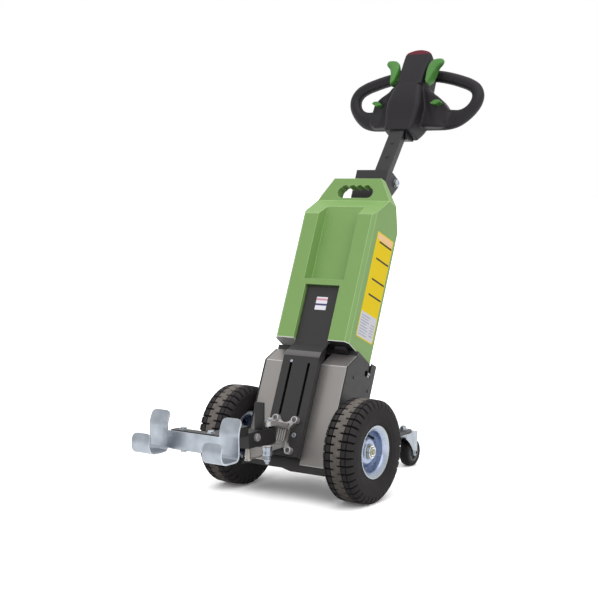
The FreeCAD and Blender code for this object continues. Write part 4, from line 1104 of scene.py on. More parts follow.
def add_piece(name: str, shell: Shell, body: str, slot: str, coat: Coat, smooth: float = 35.0,
              bevel: float = 0.0, replaces: Sequence[str] = (),
              bevel_angle: float = 30.0) -> bpy.types.Object:
    """Makes a piece from a shell.

    Args:
        name: The piece's name.
        shell: Its shape in millimetres.
        body: The body that it rides on.
        slot: The record's material slot.
        coat: Its finish.
        smooth: Smoothing angle in degrees.
        bevel: Width of the round on sharp edges, or 0.
        replaces: Nodes that it stands for.
        bevel_angle: Smallest angle that gets a round.

    Returns:
        The new piece.
    """
    data = bpy.data.meshes.new(name)
    data.from_pydata((shell.points * MM).tolist(), [], shell.faces)
    piece = bpy.data.objects.new(name, data)
    bpy.context.scene.collection.objects.link(piece)
    mesh = bmesh.new()
    mesh.from_mesh(data)
    mesh.faces.layers.float.new(HIGHLIGHT_EDGE_MARK)
    bmesh.ops.remove_doubles(mesh, verts=mesh.verts, dist=WELD_DRAWN)
    bmesh.ops.dissolve_degenerate(mesh, edges=mesh.edges, dist=SLIVER_DRAWN)
    bmesh.ops.recalc_face_normals(mesh, faces=mesh.faces)
    if bevel:
        edge_round(mesh, bevel, EDGE_SEGMENTS, bevel_angle)
    finish_mesh(piece, mesh, smooth, bool(bevel))
    settle(piece, body, slot, coat, replaces)
    return piece


def soften_node(node: str, body: str, slot: str, coat: Coat, width: float = 0.8,
                segments: int = EDGE_SEGMENTS, angle: float = 30.0, smooth: float = 35.0,
                reshape: Callable[[Array], Array] | None = None,
                bend: Callable[[Array], bool] | None = None,
                bend_width: float = 0.0) -> None:
    """Stands a round-edged copy of a solid in its place.

    Args:
        node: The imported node.
        body: The body that it rides on.
        slot: The record's material slot.
        coat: Its finish.
        width: Width of the edge rounds in millimetres.
        segments: Faces across a round.
        angle: Smallest edge angle that gets a round.
        smooth: Smoothing angle in degrees.
        reshape: Moves the copy's points, in millimetres, before its edges are worked.
        bend: Tells, from an edge's two ends, whether it is a wide bend of the sheet.
        bend_width: Width of such a bend's round in millimetres.
    """
    source = FRAME["nodes"][node]
    piece = bpy.data.objects.new(node + "_dressed", source.data.copy())
    bpy.context.scene.collection.objects.link(piece)
    if reshape:
        flat = np.empty(len(piece.data.vertices) * 3)
        piece.data.vertices.foreach_get("co", flat)
        piece.data.vertices.foreach_set("co", (reshape(flat.reshape(-1, 3) / MM) * MM).ravel())
    mesh = bmesh.new()
    mesh.from_mesh(piece.data)
    mesh.faces.layers.float.new(HIGHLIGHT_EDGE_MARK)
    bmesh.ops.remove_doubles(mesh, verts=mesh.verts, dist=WELD_NODE)
    bmesh.ops.dissolve_degenerate(mesh, edges=mesh.edges, dist=SLIVER_NODE)
    bmesh.ops.dissolve_limit(mesh, angle_limit=math.radians(FLAT_WITHIN), verts=mesh.verts,
                             edges=mesh.edges, delimit={"NORMAL"})
    if bend:
        wide = [edge for edge in mesh.edges
                if bend(np.array([end.co[:] for end in edge.verts]) / MM)]
        bevelled(mesh, wide, bend_width, BEND_SEGMENTS)
    if width:
        edge_round(mesh, width, segments, angle)
    finish_mesh(piece, mesh, smooth, True)
    settle(piece, body, slot, coat, (node,))


# ---- drive wheels
@dataclass
class DriveWheel:
    """One drive wheel: block-treaded tyre, pressed rim, hub nut."""

    side: int
    mid_x: float = 190.7
    radius: float = 130.0
    bead: float = 52.0
    blocks: int = 40
    groove_half: float = 2.2
    groove_depth: float = 5.0
    wall_slope: float = 0.9
    groove_from: float = 5.0
    inner_split: Pair = (15.5, 0.9)
    outer_split: Pair = (28.6, 0.8)
    outer_split_depth: float = 0.8
    splits_within: float = 127.5
    grooves_end: Pair = (111.2, 3.0)
    holes_in_disc: int = 4
    hole_circle: float = 39.6
    disc_slope: float = 0.62

    @property
    def body(self) -> str:
        """Name of the body it rides on."""
        return "wheel_right" if self.side > 0 else "wheel_left"

    @property
    def suffix(self) -> str:
        """End of the node names."""
        return "right" if self.side > 0 else "left"

    def placed(self, shell: Shell) -> Shell:
        """A shell drawn for the right wheel about its middle, put on this side."""
        put = shell if self.side > 0 else shell.mirrored()
        return put.shifted(self.side * self.mid_x, 0, self.radius)

    def section(self) -> Array:
        """Closed section of the tyre as (x, radius), without its grooves.

        The tread is a shallow arc, radius = 130 - 1.5 (x / 32.5)^2; the wall is a
        parabola through shoulder, bulge and foot, with two low moulded rings.

        Returns:
            The section's points, from the middle of the tread round to it again.
        """
        tread_x = np.array([0, 4.6, 5.2, 6.6, 10, 14.0, 14.8, 16.2, 17.0, 22, 27.4, 28.0, 29.2,
                            29.8, 32.5])
        tread = np.c_[tread_x, self.radius - 1.5 * (tread_x / 32.5) ** 2]
        shoulder = np.array([[35.2, 126.1], [37.6, 123.2], [39.6, 120.6], [40.7, 118.4],
                             [41.2, 116.4]])
        wall_r = np.array([114.2, 112.8, 111.6, 110.9, 110.2, 109.0, 107.8, 104, 98, 91, 86, 81,
                           79.4, 78.2, 76.6, 75.4, 73.8, 71.5, 69.6])
        bulge = np.polyfit([118.0, 91.0, 68.0], [41.0, 42.3, 36.4], 2)
        wall_x = np.polyval(bulge, wall_r)
        ring = np.exp(-((wall_r - 109.6) / 1.3) ** 2) * 0.8
        ring = ring + np.exp(-((wall_r - 77.3) / 1.4) ** 2) * 0.9
        wall = np.c_[np.minimum(wall_x + ring, 42.5), wall_r]
        foot = np.array([[35.6, 67.6], [33.0, 61.8], [28.4, 55.4], [26.2, self.bead + 0.2]])
        half = np.concatenate([tread, shoulder, wall, foot])
        other = half[1:][::-1] * np.array([-1.0, 1.0])
        return np.concatenate([half, other])

    def tread_depth(self, turn: Array, x: Array, radius: Array) -> Array:
        """How deep the tread is cut, at right angles to its section.

        Cross grooves lie at even turns, those of one side half a pitch from the
        other's; each is cut by clip((half + slope / 2 - arc distance) / slope), runs
        from beside the middle over the shoulder, and ends at the shoulder's ring. On
        each side two round grooves split the blocks, given as (middle, slope).

        Args:
            turn: Angle about the axle.
            x: Distance from mid-tyre.
            radius: The uncut radius.

        Returns:
            The depth in millimetres.
        """
        pitch = 2 * math.pi / self.blocks
        offset = np.where(x > 0, 0.25, -0.25) * pitch
        away = np.abs((turn - offset + pitch / 2) % pitch - pitch / 2) * self.radius
        cross = np.clip((self.groove_half + self.wall_slope / 2 - away) / self.wall_slope, 0, 1)
        cross = cross * (np.abs(x) > self.groove_from)
        inner, outer = (np.clip(1.5 - np.abs(np.abs(x) - middle) / slope, 0, 1)
                        for middle, slope in (self.inner_split, self.outer_split))
        rings = np.maximum(inner, outer * self.outer_split_depth)
        foot, climb = self.grooves_end
        shoulder = np.clip((radius - foot) / climb, 0, 1)
        cut = np.maximum(cross, rings * (radius > self.splits_within))
        return self.groove_depth * shoulder * cut

    def tyre(self) -> Shell:
        """Tyre as a grid of turn against section, pushed in by the tread depth.

        Each section point moves along the section's own normal, which is the turned
        tangent of its neighbours. The turns are those of the grooves' edges on both
        sides and of the blocks' middles.

        Returns:
            The closed tyre.
        """
        pitch = 2 * math.pi / self.blocks
        floor, lip = self.groove_half - self.wall_slope / 2, self.groove_half + self.wall_slope / 2
        arc = np.array([-lip, -floor, floor, lip]) / self.radius / pitch
        inside = np.sort(np.concatenate([0.25 + arc, -0.25 + arc, [0.0, 0.5]]) % 1.0)
        turn = ((np.arange(self.blocks)[:, None] + inside) * pitch).ravel()[:, None]
        section = self.section()
        tangent = unit(np.roll(section, -1, 0) - np.roll(section, 1, 0))
        inward = np.stack([tangent[:, 1], -tangent[:, 0]], -1)
        x, radius = section[:, 0] + 0 * turn, section[:, 1] + 0 * turn
        depth = self.tread_depth(turn, x, radius)
        x, cut = x + depth * inward[:, 0], radius + depth * inward[:, 1]
        grid = np.stack([x, cut * np.sin(turn), cut * np.cos(turn)], -1)
        return lattice(grid, wrap_u=True)

    def rim(self) -> Shell:
        """Pressed rim: rolled flanges, drop centre and dished disc, all turned profiles.

        Returns:
            The rim and its hub.
        """
        flange = [(28.6, 51.2), (31.2, 54.2), (35.2, 60.0), (37.4, 64.6), (37.2, 66.4),
                  (35.8, 66.4), (33.8, 61.2), (29.2, 54.8), (26.8, 52.0)]
        soft = [2.5, 2.5, 3.0, 0.9, 0.5, 0.5, 2.0, 2.0, 1.5]
        far = [(-x, radius) for x, radius in flange[::-1]]
        outer = soft_corners(flange + far + [(-24.0, 49.6), (24.0, 49.6)],
                             soft + soft[::-1] + [3.0, 3.0], 4)
        disc = soft_corners([(7.0, 49.3), (7.0, 43.0), (11.0, 36.5), (18.0, 30.0), (16.2, 23.0),
                             (17.5, 17), (14.5, 17), (13.2, 23.0), (14.6, 28.6), (8.0, 35.0),
                             (3.8, 43.0), (3.8, 49.3)],
                            [0.3, 4, 4, 4, 3, 0.3, 0.3, 3, 4, 4, 4, 0.3], 5)
        hub = soft_corners([(-40, 10.5), (-40, 18), (6, 21), (17, 20), (19.4, 17.2),
                            (19.4, 10.5)], [0.3, 1, 3, 2, 1.5, 0.3], 4)
        return joined([revolved(part, 96) for part in (outer, disc, hub)])

    def holes(self) -> Shell:
        """Hand holes of the disc, as cups set on its slope, painted near black as the shade seen
        through them.

        Returns:
            The cups.
        """
        cup = revolved([(0.0, 0.0), (0.9, 4.8), (0.5, 5.6), (-3.0, 5.6), (-3.0, 0)], 24,
                       closed=False)
        cups = []
        for index in range(self.holes_in_disc):
            turn = 2 * math.pi * (index + 0.5) / self.holes_in_disc
            y, z = math.cos(turn), math.sin(turn)
            spot = (8.6, self.hole_circle * y, self.hole_circle * z)
            cups.append(along(cup, spot, (1.0, self.disc_slope * y, self.disc_slope * z)))
        return joined(cups)

    def valve(self) -> Shell:
        """Valve stem through the disc's slope.

        Returns:
            The stem, a turned profile.
        """
        stem = revolved([(0, 0), (0, 4.2), (5, 3.8), (8, 2.6), (20, 2.4), (20.3, 3.2), (25, 3.2),
                         (26, 2.4), (26, 0)], 20, closed=False)
        return along(stem, (8.0, 0.0, 43.5), (1.0, 0.0, -0.42))

    def nut(self) -> Shell:
        """Hub nut, its washer and the shaft's end.

        Returns:
            The three as one shell.
        """
        shaft = revolved([(0, 0), (0, 7.6), (4.0, 7.6), (5.0, 6.6), (5.0, 0)], 28, closed=False)
        return joined([washer(8.0, 18.0, 2.4).shifted(18.4),
                       hex_head(29.0, 7.6, 1.2).shifted(20.8), shaft.shifted(27.8)])

    def build(self) -> None:
        """Makes the wheel's pieces."""
        add_piece("tyre_tread_" + self.suffix, self.placed(self.tyre()), self.body,
                  "tyre_rubber", Coat.TYRE, smooth=32.0, replaces=["tyre_" + self.suffix])
        add_piece("rim_pressing_" + self.suffix, self.placed(self.rim()), self.body, "zinc",
                  Coat.RIM, smooth=40.0, replaces=["rim_" + self.suffix])
        # painted shade: near-black cups where the disc's holes are
        add_piece("rim_holes_" + self.suffix, self.placed(self.holes()), self.body, "zinc",
                  Coat.PAINTED_SHADE)
        add_piece("valve_" + self.suffix, self.placed(self.valve()), self.body, "tyre_rubber",
                  Coat.TREAD)
        add_piece("hub_nut_" + self.suffix, self.placed(self.nut()), self.body, "zinc",
                  Coat.HUB_NUT, bevel=0.3)


# ---- casters
@dataclass
class Caster:
    """One rear caster: pressed fork, king nut, wheel with a moulded centre."""

    side: int
    x: float = 82.0
    swivel_y: float = 394.0
    trail: float = 38.0
    radius: float = 38.4
    half_width: float = 14.0
    arm_top: float = 107.0
    web_ribs: int = 5

    @property
    def suffix(self) -> str:
        """End of the node names."""
        return "right" if self.side > 0 else "left"

    def wheel_placed(self, shell: Shell) -> Shell:
        """A shell drawn about the wheel's middle, put in its place."""
        return shell.shifted(self.side * self.x, self.swivel_y + self.trail, self.radius)

    def tread(self) -> Shell:
        """Rubber ring: a flat-topped tyre with round shoulders, turned about its pin.

        Returns:
            The ring.
        """
        half, top = self.half_width, self.radius
        ring = soft_corners([(-half, 24), (-half, top - 3.5), (-half + 4.5, top),
                             (half - 4.5, top), (half, top - 3.5), (half, 24)],
                            [0.3, 3, 5, 5, 3, 0.3], 6)
        return revolved(ring, 72)

    def centre(self) -> Shell:
        """Moulded centre: web between a rim and a boss, as one turned ring, with ribs.

        Returns:
            The centre.
        """
        half = self.half_width
        ring = soft_corners([
            (-half - 1, 5.1), (-half - 1, 10), (-4, 11), (-4, 19), (-half + 0.4, 20.5),
            (-half + 0.4, 24.2), (half - 0.4, 24.2), (half - 0.4, 20.5), (4, 19), (4, 11),
            (half + 1, 10), (half + 1, 5.1)], 1.2, 3)
        rib = block(-half + 3, half - 3, -1.4, 1.4, 9.5, 20.5)
        ribs = [rib.moved(turned_about_x(360 / self.web_ribs * index))
                for index in range(self.web_ribs)]
        return joined([revolved(ring, 56)] + ribs)

    def pin_ends(self) -> Shell:
        """Pin head on one side and nut on the other, of the wheel's pin.

        Returns:
            The two hexagons.
        """
        face = self.half_width + 4.0
        return joined([along(hex_head(11.0, 3.0, 0.6), (face, 0, 0), (1, 0, 0)),
                       along(hex_head(11.0, 3.0, 0.6), (-face, 0, 0), (-1, 0, 0))])

    def king_nut(self) -> Shell:
        """Washer, nut and thread end above the arm.

        Returns:
            The three as one shell.
        """
        up = (0, 0, 1)
        spot = (self.side * self.x, self.swivel_y, self.arm_top)
        return joined([along(washer(6.0, 13.0, 1.8), spot, up),
                       along(hex_head(17.0, 8.0, 1.0).shifted(1.8), spot, up),
                       along(dome_head(5.4, 3.0).shifted(9.8), spot, up)])

    def build(self) -> None:
        """Makes the caster's pieces."""
        name = self.suffix
        soften_node("caster_fork_" + name, "caster_fork_" + name, "zinc", Coat.ZINC, width=0.5)
        add_piece("caster_tyre_" + name, self.wheel_placed(self.tread()),
                  "caster_wheel_" + name, "caster_rubber", Coat.TREAD,
                  replaces=["caster_tread_" + name])
        add_piece("caster_centre_" + name, self.wheel_placed(self.centre()),
                  "caster_wheel_" + name, "grey_moulding", Coat.HUB,
                  replaces=["caster_hub_" + name])
        add_piece("caster_pin_ends_" + name, self.wheel_placed(self.pin_ends()),
                  "caster_fork_" + name, "zinc", Coat.ZINC, bevel=0.2)
        add_piece("caster_king_nut_" + name, self.king_nut(), "chassis", "zinc", Coat.ZINC,
                  bevel=0.25, replaces=["caster_bolt_" + name])


# ---- chassis
@dataclass
class Chassis:
    """Drive box, channel, covers, mast, tray and rear frame."""

    lean: float = 22.65
    half_width: float = 128.0
    channel_front: float = 125.0
    slot_x: float = 27.0
    bend_height: float = 321.0
    bend_rise: float = 16.0
    bend_width: float = 9.0

    def upright(self) -> Array:
        """Matrix of the frame in which the box is drawn upright."""
        return turned_about_x(self.lean)

    def knee_raised(self, points: Array) -> Array:
        """The channel's points with its front bend lifted by a set rise up the mast.

        A point moves where, in the upright frame, it lies within 6 mm of the bend's
        height and ahead of the bend's inner face.

        Args:
            points: The channel's points.

        Returns:
            The moved points.
        """
        matrix = self.upright()[:3, :3]
        flat = points @ matrix
        bend = (abs(flat[:, 2] - self.bend_height) < 6.0) & (flat[:, 1] < 12.0 - self.channel_front)
        flat[:, 2] += np.where(bend, self.bend_rise, 0.0)
        return flat @ matrix.T

    def is_knee_bend(self, ends: Array) -> bool:
        """Whether an edge is the front bend's outer line: level, across and at the front.

        Args:
            ends: The edge's two ends.

        Returns:
            True for that line alone.
        """
        flat = ends @ self.upright()[:3, :3]
        level = (abs(flat[:, 2] - self.bend_height - self.bend_rise) < 2.0).all()
        across = abs(ends[0, 0] - ends[1, 0]) > 20.0
        foremost = (flat[:, 1] < 1.0 - self.channel_front).all()
        return bool(level and across and foremost)

    def dressed_solids(self) -> None:
        """Round-edged copies of the sheet and tube parts."""
        paint = ("black_paint", Coat.BLACK_PAINT)
        for side in ("right", "left"):
            soften_node("side_plate_" + side, "chassis", "black_paint", Coat.SHADED_BLACK_PAINT)
        for node, width in (("front_plate", 0.0), ("base_pan", 0.8), ("rear_plate", 0.8),
                            ("rear_frame", 1.0), ("battery_tray", 0.8), ("transaxle", 0.8)):
            soften_node(node, "chassis", *paint, width=width)
        # the wide front bend is marked as an outer round, so the black paint's edge colour paints a
        # highlight along it
        soften_node("spine_channel", "chassis", *paint, width=1.4, segments=3, angle=20.0,
                    reshape=self.knee_raised, bend=self.is_knee_bend,
                    bend_width=self.bend_width)
        soften_node("mast", "chassis", *paint, width=1.2, segments=3)
        soften_node("tiller_pivot", "chassis", "zinc", Coat.ZINC, width=0.6)
        for side in ("right", "left"):
            soften_node("steel_cover_" + side, "chassis", "stainless", Coat.STAINLESS,
                        width=2.4, segments=4, angle=20.0)
        soften_node("battery_socket", "chassis", "black_moulding", Coat.BLACK, width=1.0)

    def screws(self) -> Shell:
        """Screw in the top of a slot and the ring bolt beside the casting.

        Returns:
            The screw and the bolt.
        """
        out = (0, -1, 0)
        ring = revolved(soft_corners([(0, 2.6), (0, 6.4), (3.2, 6.4), (3.2, 2.6)], 0.9, 4), 28)
        shells = [along(dome_head(4.2, 2.6), (-self.slot_x, -self.channel_front, 313), out),
                  along(ring, (self.slot_x + 4, -self.channel_front, 123), out),
                  along(dome_head(3.4, 1.6), (self.slot_x + 4, -self.channel_front, 123), out)]
        return joined(shells).moved(self.upright())

    def side_fixings(self) -> Shell:
        """Low screw heads on both cheeks that hold the cross plates.

        Returns:
            The heads.
        """
        heads = [along(dome_head(4.6, 2.4), (self.half_width, y, z), (1, 0, 0))
                 for y, z in ((-62, 300), (-80, 140), (18, 285), (18, 170))]
        return both_sides(joined(heads)).moved(self.upright())

    def cheek_notch_catch(self) -> Shell:
        """Small zinc catch in the notch of each cheek.

        Returns:
            Both catches.
        """
        bar = block(self.half_width - 3.6, self.half_width - 0.4, 2, 9, 318.4, 330)
        knob = along(dome_head(3.6, 3.0), (self.half_width - 0.4, 6.5, 326), (1, 0, 0))
        return both_sides(joined([bar, knob])).moved(self.upright())

    def build(self) -> None:
        """Makes the chassis pieces."""
        self.dressed_solids()
        add_piece("channel_screws", self.screws(), "chassis", "zinc", Coat.ZINC)
        add_piece("cheek_screws", self.side_fixings(), "chassis", "black_paint",
                  Coat.BLACK_PAINT)
        add_piece("notch_catches", self.cheek_notch_catch(), "chassis", "zinc", Coat.ZINC,
                  bevel=0.3)


# ---- battery
@dataclass
class Battery:
    """Green battery with its side film, and the plain tag on the spine panel."""

    lean: float = 22.65
    half_width: float = 113.0
    film_front: float = -72.0
    film_back: float = 15.0
    film_low: float = 407.0
    film_split: float = 476.0
    film_high: float = 692.0
    film_lift: float = 0.25
    panel_inset: float = 3.0
    head_inset: float = 4.0
    head_height: float = 17.0
    panel_lift: float = 0.4
    rule_heights: tuple[float, ...] = (525.0, 567.0, 623.0, 668.0)
    rule_insets: Pair = (18.0, 3.0)
    rule_half: float = 2.3
    rule_lift: float = 0.5
    bar_inset: float = 8.0
    bar_start: float = 9.0
    bar_pitch: float = 7.2
    bar_height: float = 2.2
    bar_reaches: tuple[float, ...] = (40, 34, 42, 38, 30, 42, 36, 44)
    short_bar_offset: float = 52.0
    bar_lift: float = 0.6
    spine_front: float = -94.0
    tag_sides: Pair = (-14.0, 20.0)
    tag_heights: Pair = (462.0, 497.0)
    tag_bar: Pair = (488.0, 493.0)
    tag_line: Pair = (474.0, 479.0)
    tag_lift: float = 0.3
    print_lift: float = 0.5

    def placed(self, shell: Shell) -> Shell:
        """A shell drawn upright, leaned with the mast."""
        return shell.moved(turned_about_x(self.lean))

    def film(self, low: float, high: float, inset: float, lift: float) -> Shell:
        """Round-cornered film on the right side.

        Args:
            low: Lower edge up the mast.
            high: Upper edge.
            inset: How far its edges lie inside the whole film's.
            lift: Height above the case.

        Returns:
            The film.
        """
        y0, y1 = self.film_front + inset, self.film_back - inset
        outline = soft_corners(rectangle(y0, y1, low, high), 4.0, 5)
        return self.placed(prism(outline, self.half_width, self.half_width + lift, Plane.X))

    def rules(self) -> Shell:
        """Level lines that divide the film into fields.

        Returns:
            The lines.
        """
        at_front, at_back = self.rule_insets
        y0, y1, half = self.film_front + at_front, self.film_back - at_back, self.rule_half
        return self.side_bars([(y0, y1, z - half, z + half) for z in self.rule_heights],
                              self.rule_lift)

    def side_bars(self, spans: Sequence[tuple[float, float, float, float]],
                  lift: float) -> Shell:
        """Thin rectangles on the right side.

        Args:
            spans: (y from, y to, z from, z to) of each, upright.
            lift: Height above the case.

        Returns:
            The rectangles in place.
        """
        bars = [prism(rectangle(*span), self.half_width, self.half_width + lift, Plane.X)
                for span in spans]
        return self.placed(joined(bars))

    def grey_bars(self) -> Shell:
        """Faint bars on the pale panel, in two columns of even rows.

        Returns:
            The bars.
        """
        rows = [self.film_low + self.bar_start + self.bar_pitch * index
                for index in range(len(self.bar_reaches))]
        front, back = self.film_front + self.bar_inset, self.film_back - self.bar_inset
        long_column = [(front, front + reach, z, z + self.bar_height)
                       for z, reach in zip(rows, self.bar_reaches)]
        short_column = [(front + self.short_bar_offset, back, z, z + self.bar_height)
                        for z in rows[1:6]]
        return self.side_bars(long_column + short_column, self.bar_lift)

    def tag(self, heights: Pair, lift: float) -> Shell:
        """Part of the small plain tag on the spine panel, between two heights."""
        outline = soft_corners(rectangle(*self.tag_sides, *heights), 1.2, 3)
        return self.placed(prism(outline, self.spine_front - lift, self.spine_front, Plane.Y))

    def build(self) -> None:
        """Makes the battery's pieces."""
        soften_node("battery_case", "battery", "green_moulding", Coat.GREEN, width=4.0,
                    segments=4, angle=25.0, smooth=40.0)
        head_top = self.film_high - self.panel_inset
        film = self.film(self.film_low, self.film_high, 0.0, self.film_lift)
        panel = self.film(self.film_low + self.panel_inset, self.film_split, self.panel_inset,
                          self.panel_lift)
        head = self.film(head_top - self.head_height, head_top, self.head_inset,
                         self.panel_lift)
        for name, shell, coat in (
                ("side_film", film, Coat.YELLOW), ("side_film_panel", panel, Coat.PALE),
                ("side_film_head", head, Coat.PEACH), ("side_film_rules", self.rules(), Coat.INK),
                ("side_film_bars", self.grey_bars(), Coat.FAINT_INK)):
            add_piece(name, shell, "battery", "green_moulding", coat)
        for name, heights, lift, coat in (
                ("spine_tag", self.tag_heights, self.tag_lift, Coat.TAG),
                ("spine_tag_bar", self.tag_bar, self.print_lift, Coat.ROSE),
                ("spine_tag_line", self.tag_line, self.print_lift, Coat.NAVY)):
            add_piece(name, self.tag(heights, lift), "chassis", "black_paint", coat)


# ---- towing gear
@dataclass
class TowingGear:
    """Casting, pin, drawbar, latch and hook gripper."""

    lean: float = 22.65
    lug_x: float = 28.6
    lug_heights: Pair = (82.0, 160.0)
    lug_face: float = -137.0
    pin_y: float = -140.0
    spring_turns: float = 4.0
    spring_radius: float = 8.2
    spring_from: float = 112.4
    spring_height: float = 6.6
    hook_x: float = 103.0
    hook_y: float = -431.0
    hook_half: float = 27.0
    hook_end_half: float = 14.0
    hook_corner: float = 12.0
    sheet_half: float = 2.0
    bar_x: float = 40.0
    clamp_y: float = -417.0

    def on_lugs(self, shell: Shell) -> Shell:
        """Stands a shell on each of the casting's four lugs.

        Args:
            shell: A shell drawn along +X.

        Returns:
            The four in place.
        """
        four = joined([along(shell, (x, self.lug_face, z), (0, -1, 0))
                       for x in (-self.lug_x, self.lug_x) for z in self.lug_heights])
        return four.moved(turned_about_x(self.lean))

    def lug_bolts(self) -> Shell:
        """Socket screws in the casting's four lugs."""
        return self.on_lugs(cap_screw(5.6, 2.6))

    def lug_rims(self) -> Shell:
        """Raised round rims of the casting's lugs, turned about their screws.

        Returns:
            The rims.
        """
        lip = soft_corners([(0, 6.2), (0, 9.4), (1.8, 9.0), (2.4, 8.2), (2.4, 7.2), (1.6, 6.2)],
                           [0.1, 0.8, 0.6, 0.5, 0.5, 0.1], 3)
        return self.on_lugs(revolved(lip, 32))

    def pin(self) -> Shell:
        """Pin head, knurled sleeve, cup, tip and spring.

        All but the spring are turned profiles about the pin; the spring's coil is
        (r cos t, r sin t) while its height rises evenly with t.

        Returns:
            The whole pin.
        """
        up = (0, 0, 1)
        base = (0.0, self.pin_y, 0.0)
        head = revolved([(207, 0), (207, 10.0), (208.6, 10.0), (209.4, 9.2), (209.4, 0)], 40,
                        closed=False)
        sleeve = soft_corners([
            (119.6, 8.1), (119.6, 12.0), (121, 12.9), (126.0, 12.9), (126.8, 12.1), (127.8, 12.9),
            (130, 12.9), (130.8, 12.1), (131.8, 12.9), (141.9, 12.9), (143.3, 11.6), (143.3, 8.1)],
            [0.2, 0.8, 0.8, 0.4, 0.4, 0.4, 0.4, 0.4, 0.4, 0.8, 0.8, 0.2], 3)
        cup = soft_corners([(104.5, 0.5), (104.5, 8.0), (106, 9.4), (110.8, 9.4), (112.0, 7.6),
                            (119.6, 7.6), (119.6, 0.5)], [0.1, 1, 1, 0.6, 0.5, 0.2, 0.1], 3)
        tip = revolved([(98.0, 0), (98.0, 4.4), (99.2, 5.6), (104.6, 5.6), (104.6, 0)], 24,
                       closed=False)
        shank = revolved([(104, 0), (104, 5.0), (207, 5.0), (207, 0)], 24, closed=False)
        t = np.linspace(0, self.spring_turns * 2 * math.pi, 100)
        coil = np.stack([self.spring_radius * np.cos(t), self.spring_radius * np.sin(t),
                         self.spring_from + t / t[-1] * self.spring_height], -1)
        shells = [along(shape, base, up) for shape in
                  (head, revolved(sleeve, 40), revolved(cup, 32), tip, shank)]
        return joined(shells + [swept(coil, circle(0.9, 8), up).shifted(*base)])

    def arm_bolt(self) -> Shell:
        """Bolt in the upper arm behind the pin, square to the arm's slope.

        Returns:
            The washer and the head.
        """
        up = (0, -0.16, 1)
        return joined([along(washer(3.0, 7.4, 1.0), (0, -127.5, 206.2), up),
                       along(hex_head(12.0, 4.6, 0.8), (0, -127.6, 207.0), up)])

    def side_nut(self) -> Shell:
        """Hexagon bolt head on the right of the head block."""
        return joined([along(washer(4.0, 10.0, 1.2), (20.0, -213, 179.5), (1, 0, 0)),
                       along(hex_head(17.0, 6.0, 1.4), (21.2, -213, 179.5), (1, 0, 0))])

    def plunger(self) -> Shell:
        """Tapering plunger barrel with a flange and a pull rod.

        Returns:
            The plunger.
        """
        barrel = soft_corners([(122, 0.4), (122, 8.9), (124.6, 8.9), (125.6, 7.6), (155.8, 4.9),
                               (155.8, 0.4)], [0.1, 0.9, 0.8, 0.8, 0.3, 0.1], 4)
        rod = through([(0, -219, 126), (1, -200, 124.0), (1, -180, 123.2), (0, -163, 123.5)], 24)
        return joined([along(revolved(barrel, 36), (0, -221, 0), (0, 0, 1)),
                       swept(rod, circle(1.9, 12), up=(0, 0, 1))])

    def hook(self) -> Shell:
        """Right hook: a sheet bent along a path, its width narrowing at both ends.

        At a distance e from an end, less than the corner radius r, each side is drawn
        in by r - sqrt(r^2 - (r - e)^2), which rounds the sheet's corners.

        Returns:
            The bent sheet, beside the cross bar.
        """
        corners = [(-416.5, 266.0), (-431.0, 240.0), (-431.0, 174.0), (-485.0, 174.0),
                   (-495.4, 186.5), (-494.5, 206.0), (-487.5, 221.5)]
        bent = soft_corners(corners, [0, 14, 13, 13, 9, 14, 0], 9, closed=False)
        count = 90
        path = through(np.c_[np.zeros(len(bent)), bent], count)
        run = np.linspace(0, 1, count) * np.linalg.norm(np.diff(path, axis=0), axis=1).sum()
        end = np.minimum(run, run[-1] - run)
        radius = self.hook_corner
        near = np.clip(radius - end, 0, radius)
        inset = radius - np.sqrt(np.maximum(radius ** 2 - near ** 2, 0))
        half = np.maximum(self.hook_half - inset, self.hook_end_half)
        corner = np.array(rectangle(-1, 1, -1, 1), float)
        profile = corner[None] * np.stack([np.full(count, self.sheet_half), half], -1)[:, None]
        return swept(path, profile, up=(1, 0, 0)).shifted(self.hook_x)

    def cross_bar(self) -> Shell:
        """Flat bar that joins the hooks."""
        front, back = self.hook_y - self.sheet_half, self.hook_y + self.sheet_half
        return block(-80.0, 80.0, front, back, 181.0, 223.0)

    def clamp_bolts(self) -> Shell:
        """Clamp bolt heads above and nuts below the crossbar, on washers.

        Returns:
            The fasteners.
        """
        head = joined([washer(4.0, 9.5, 1.2), hex_head(14.0, 5.2).shifted(1.2)])
        return joined([along(head, (x, self.clamp_y, z), (0, 0, facing))
                       for x in (-self.bar_x, self.bar_x)
                       for z, facing in ((225.0, 1), (179.0, -1))])

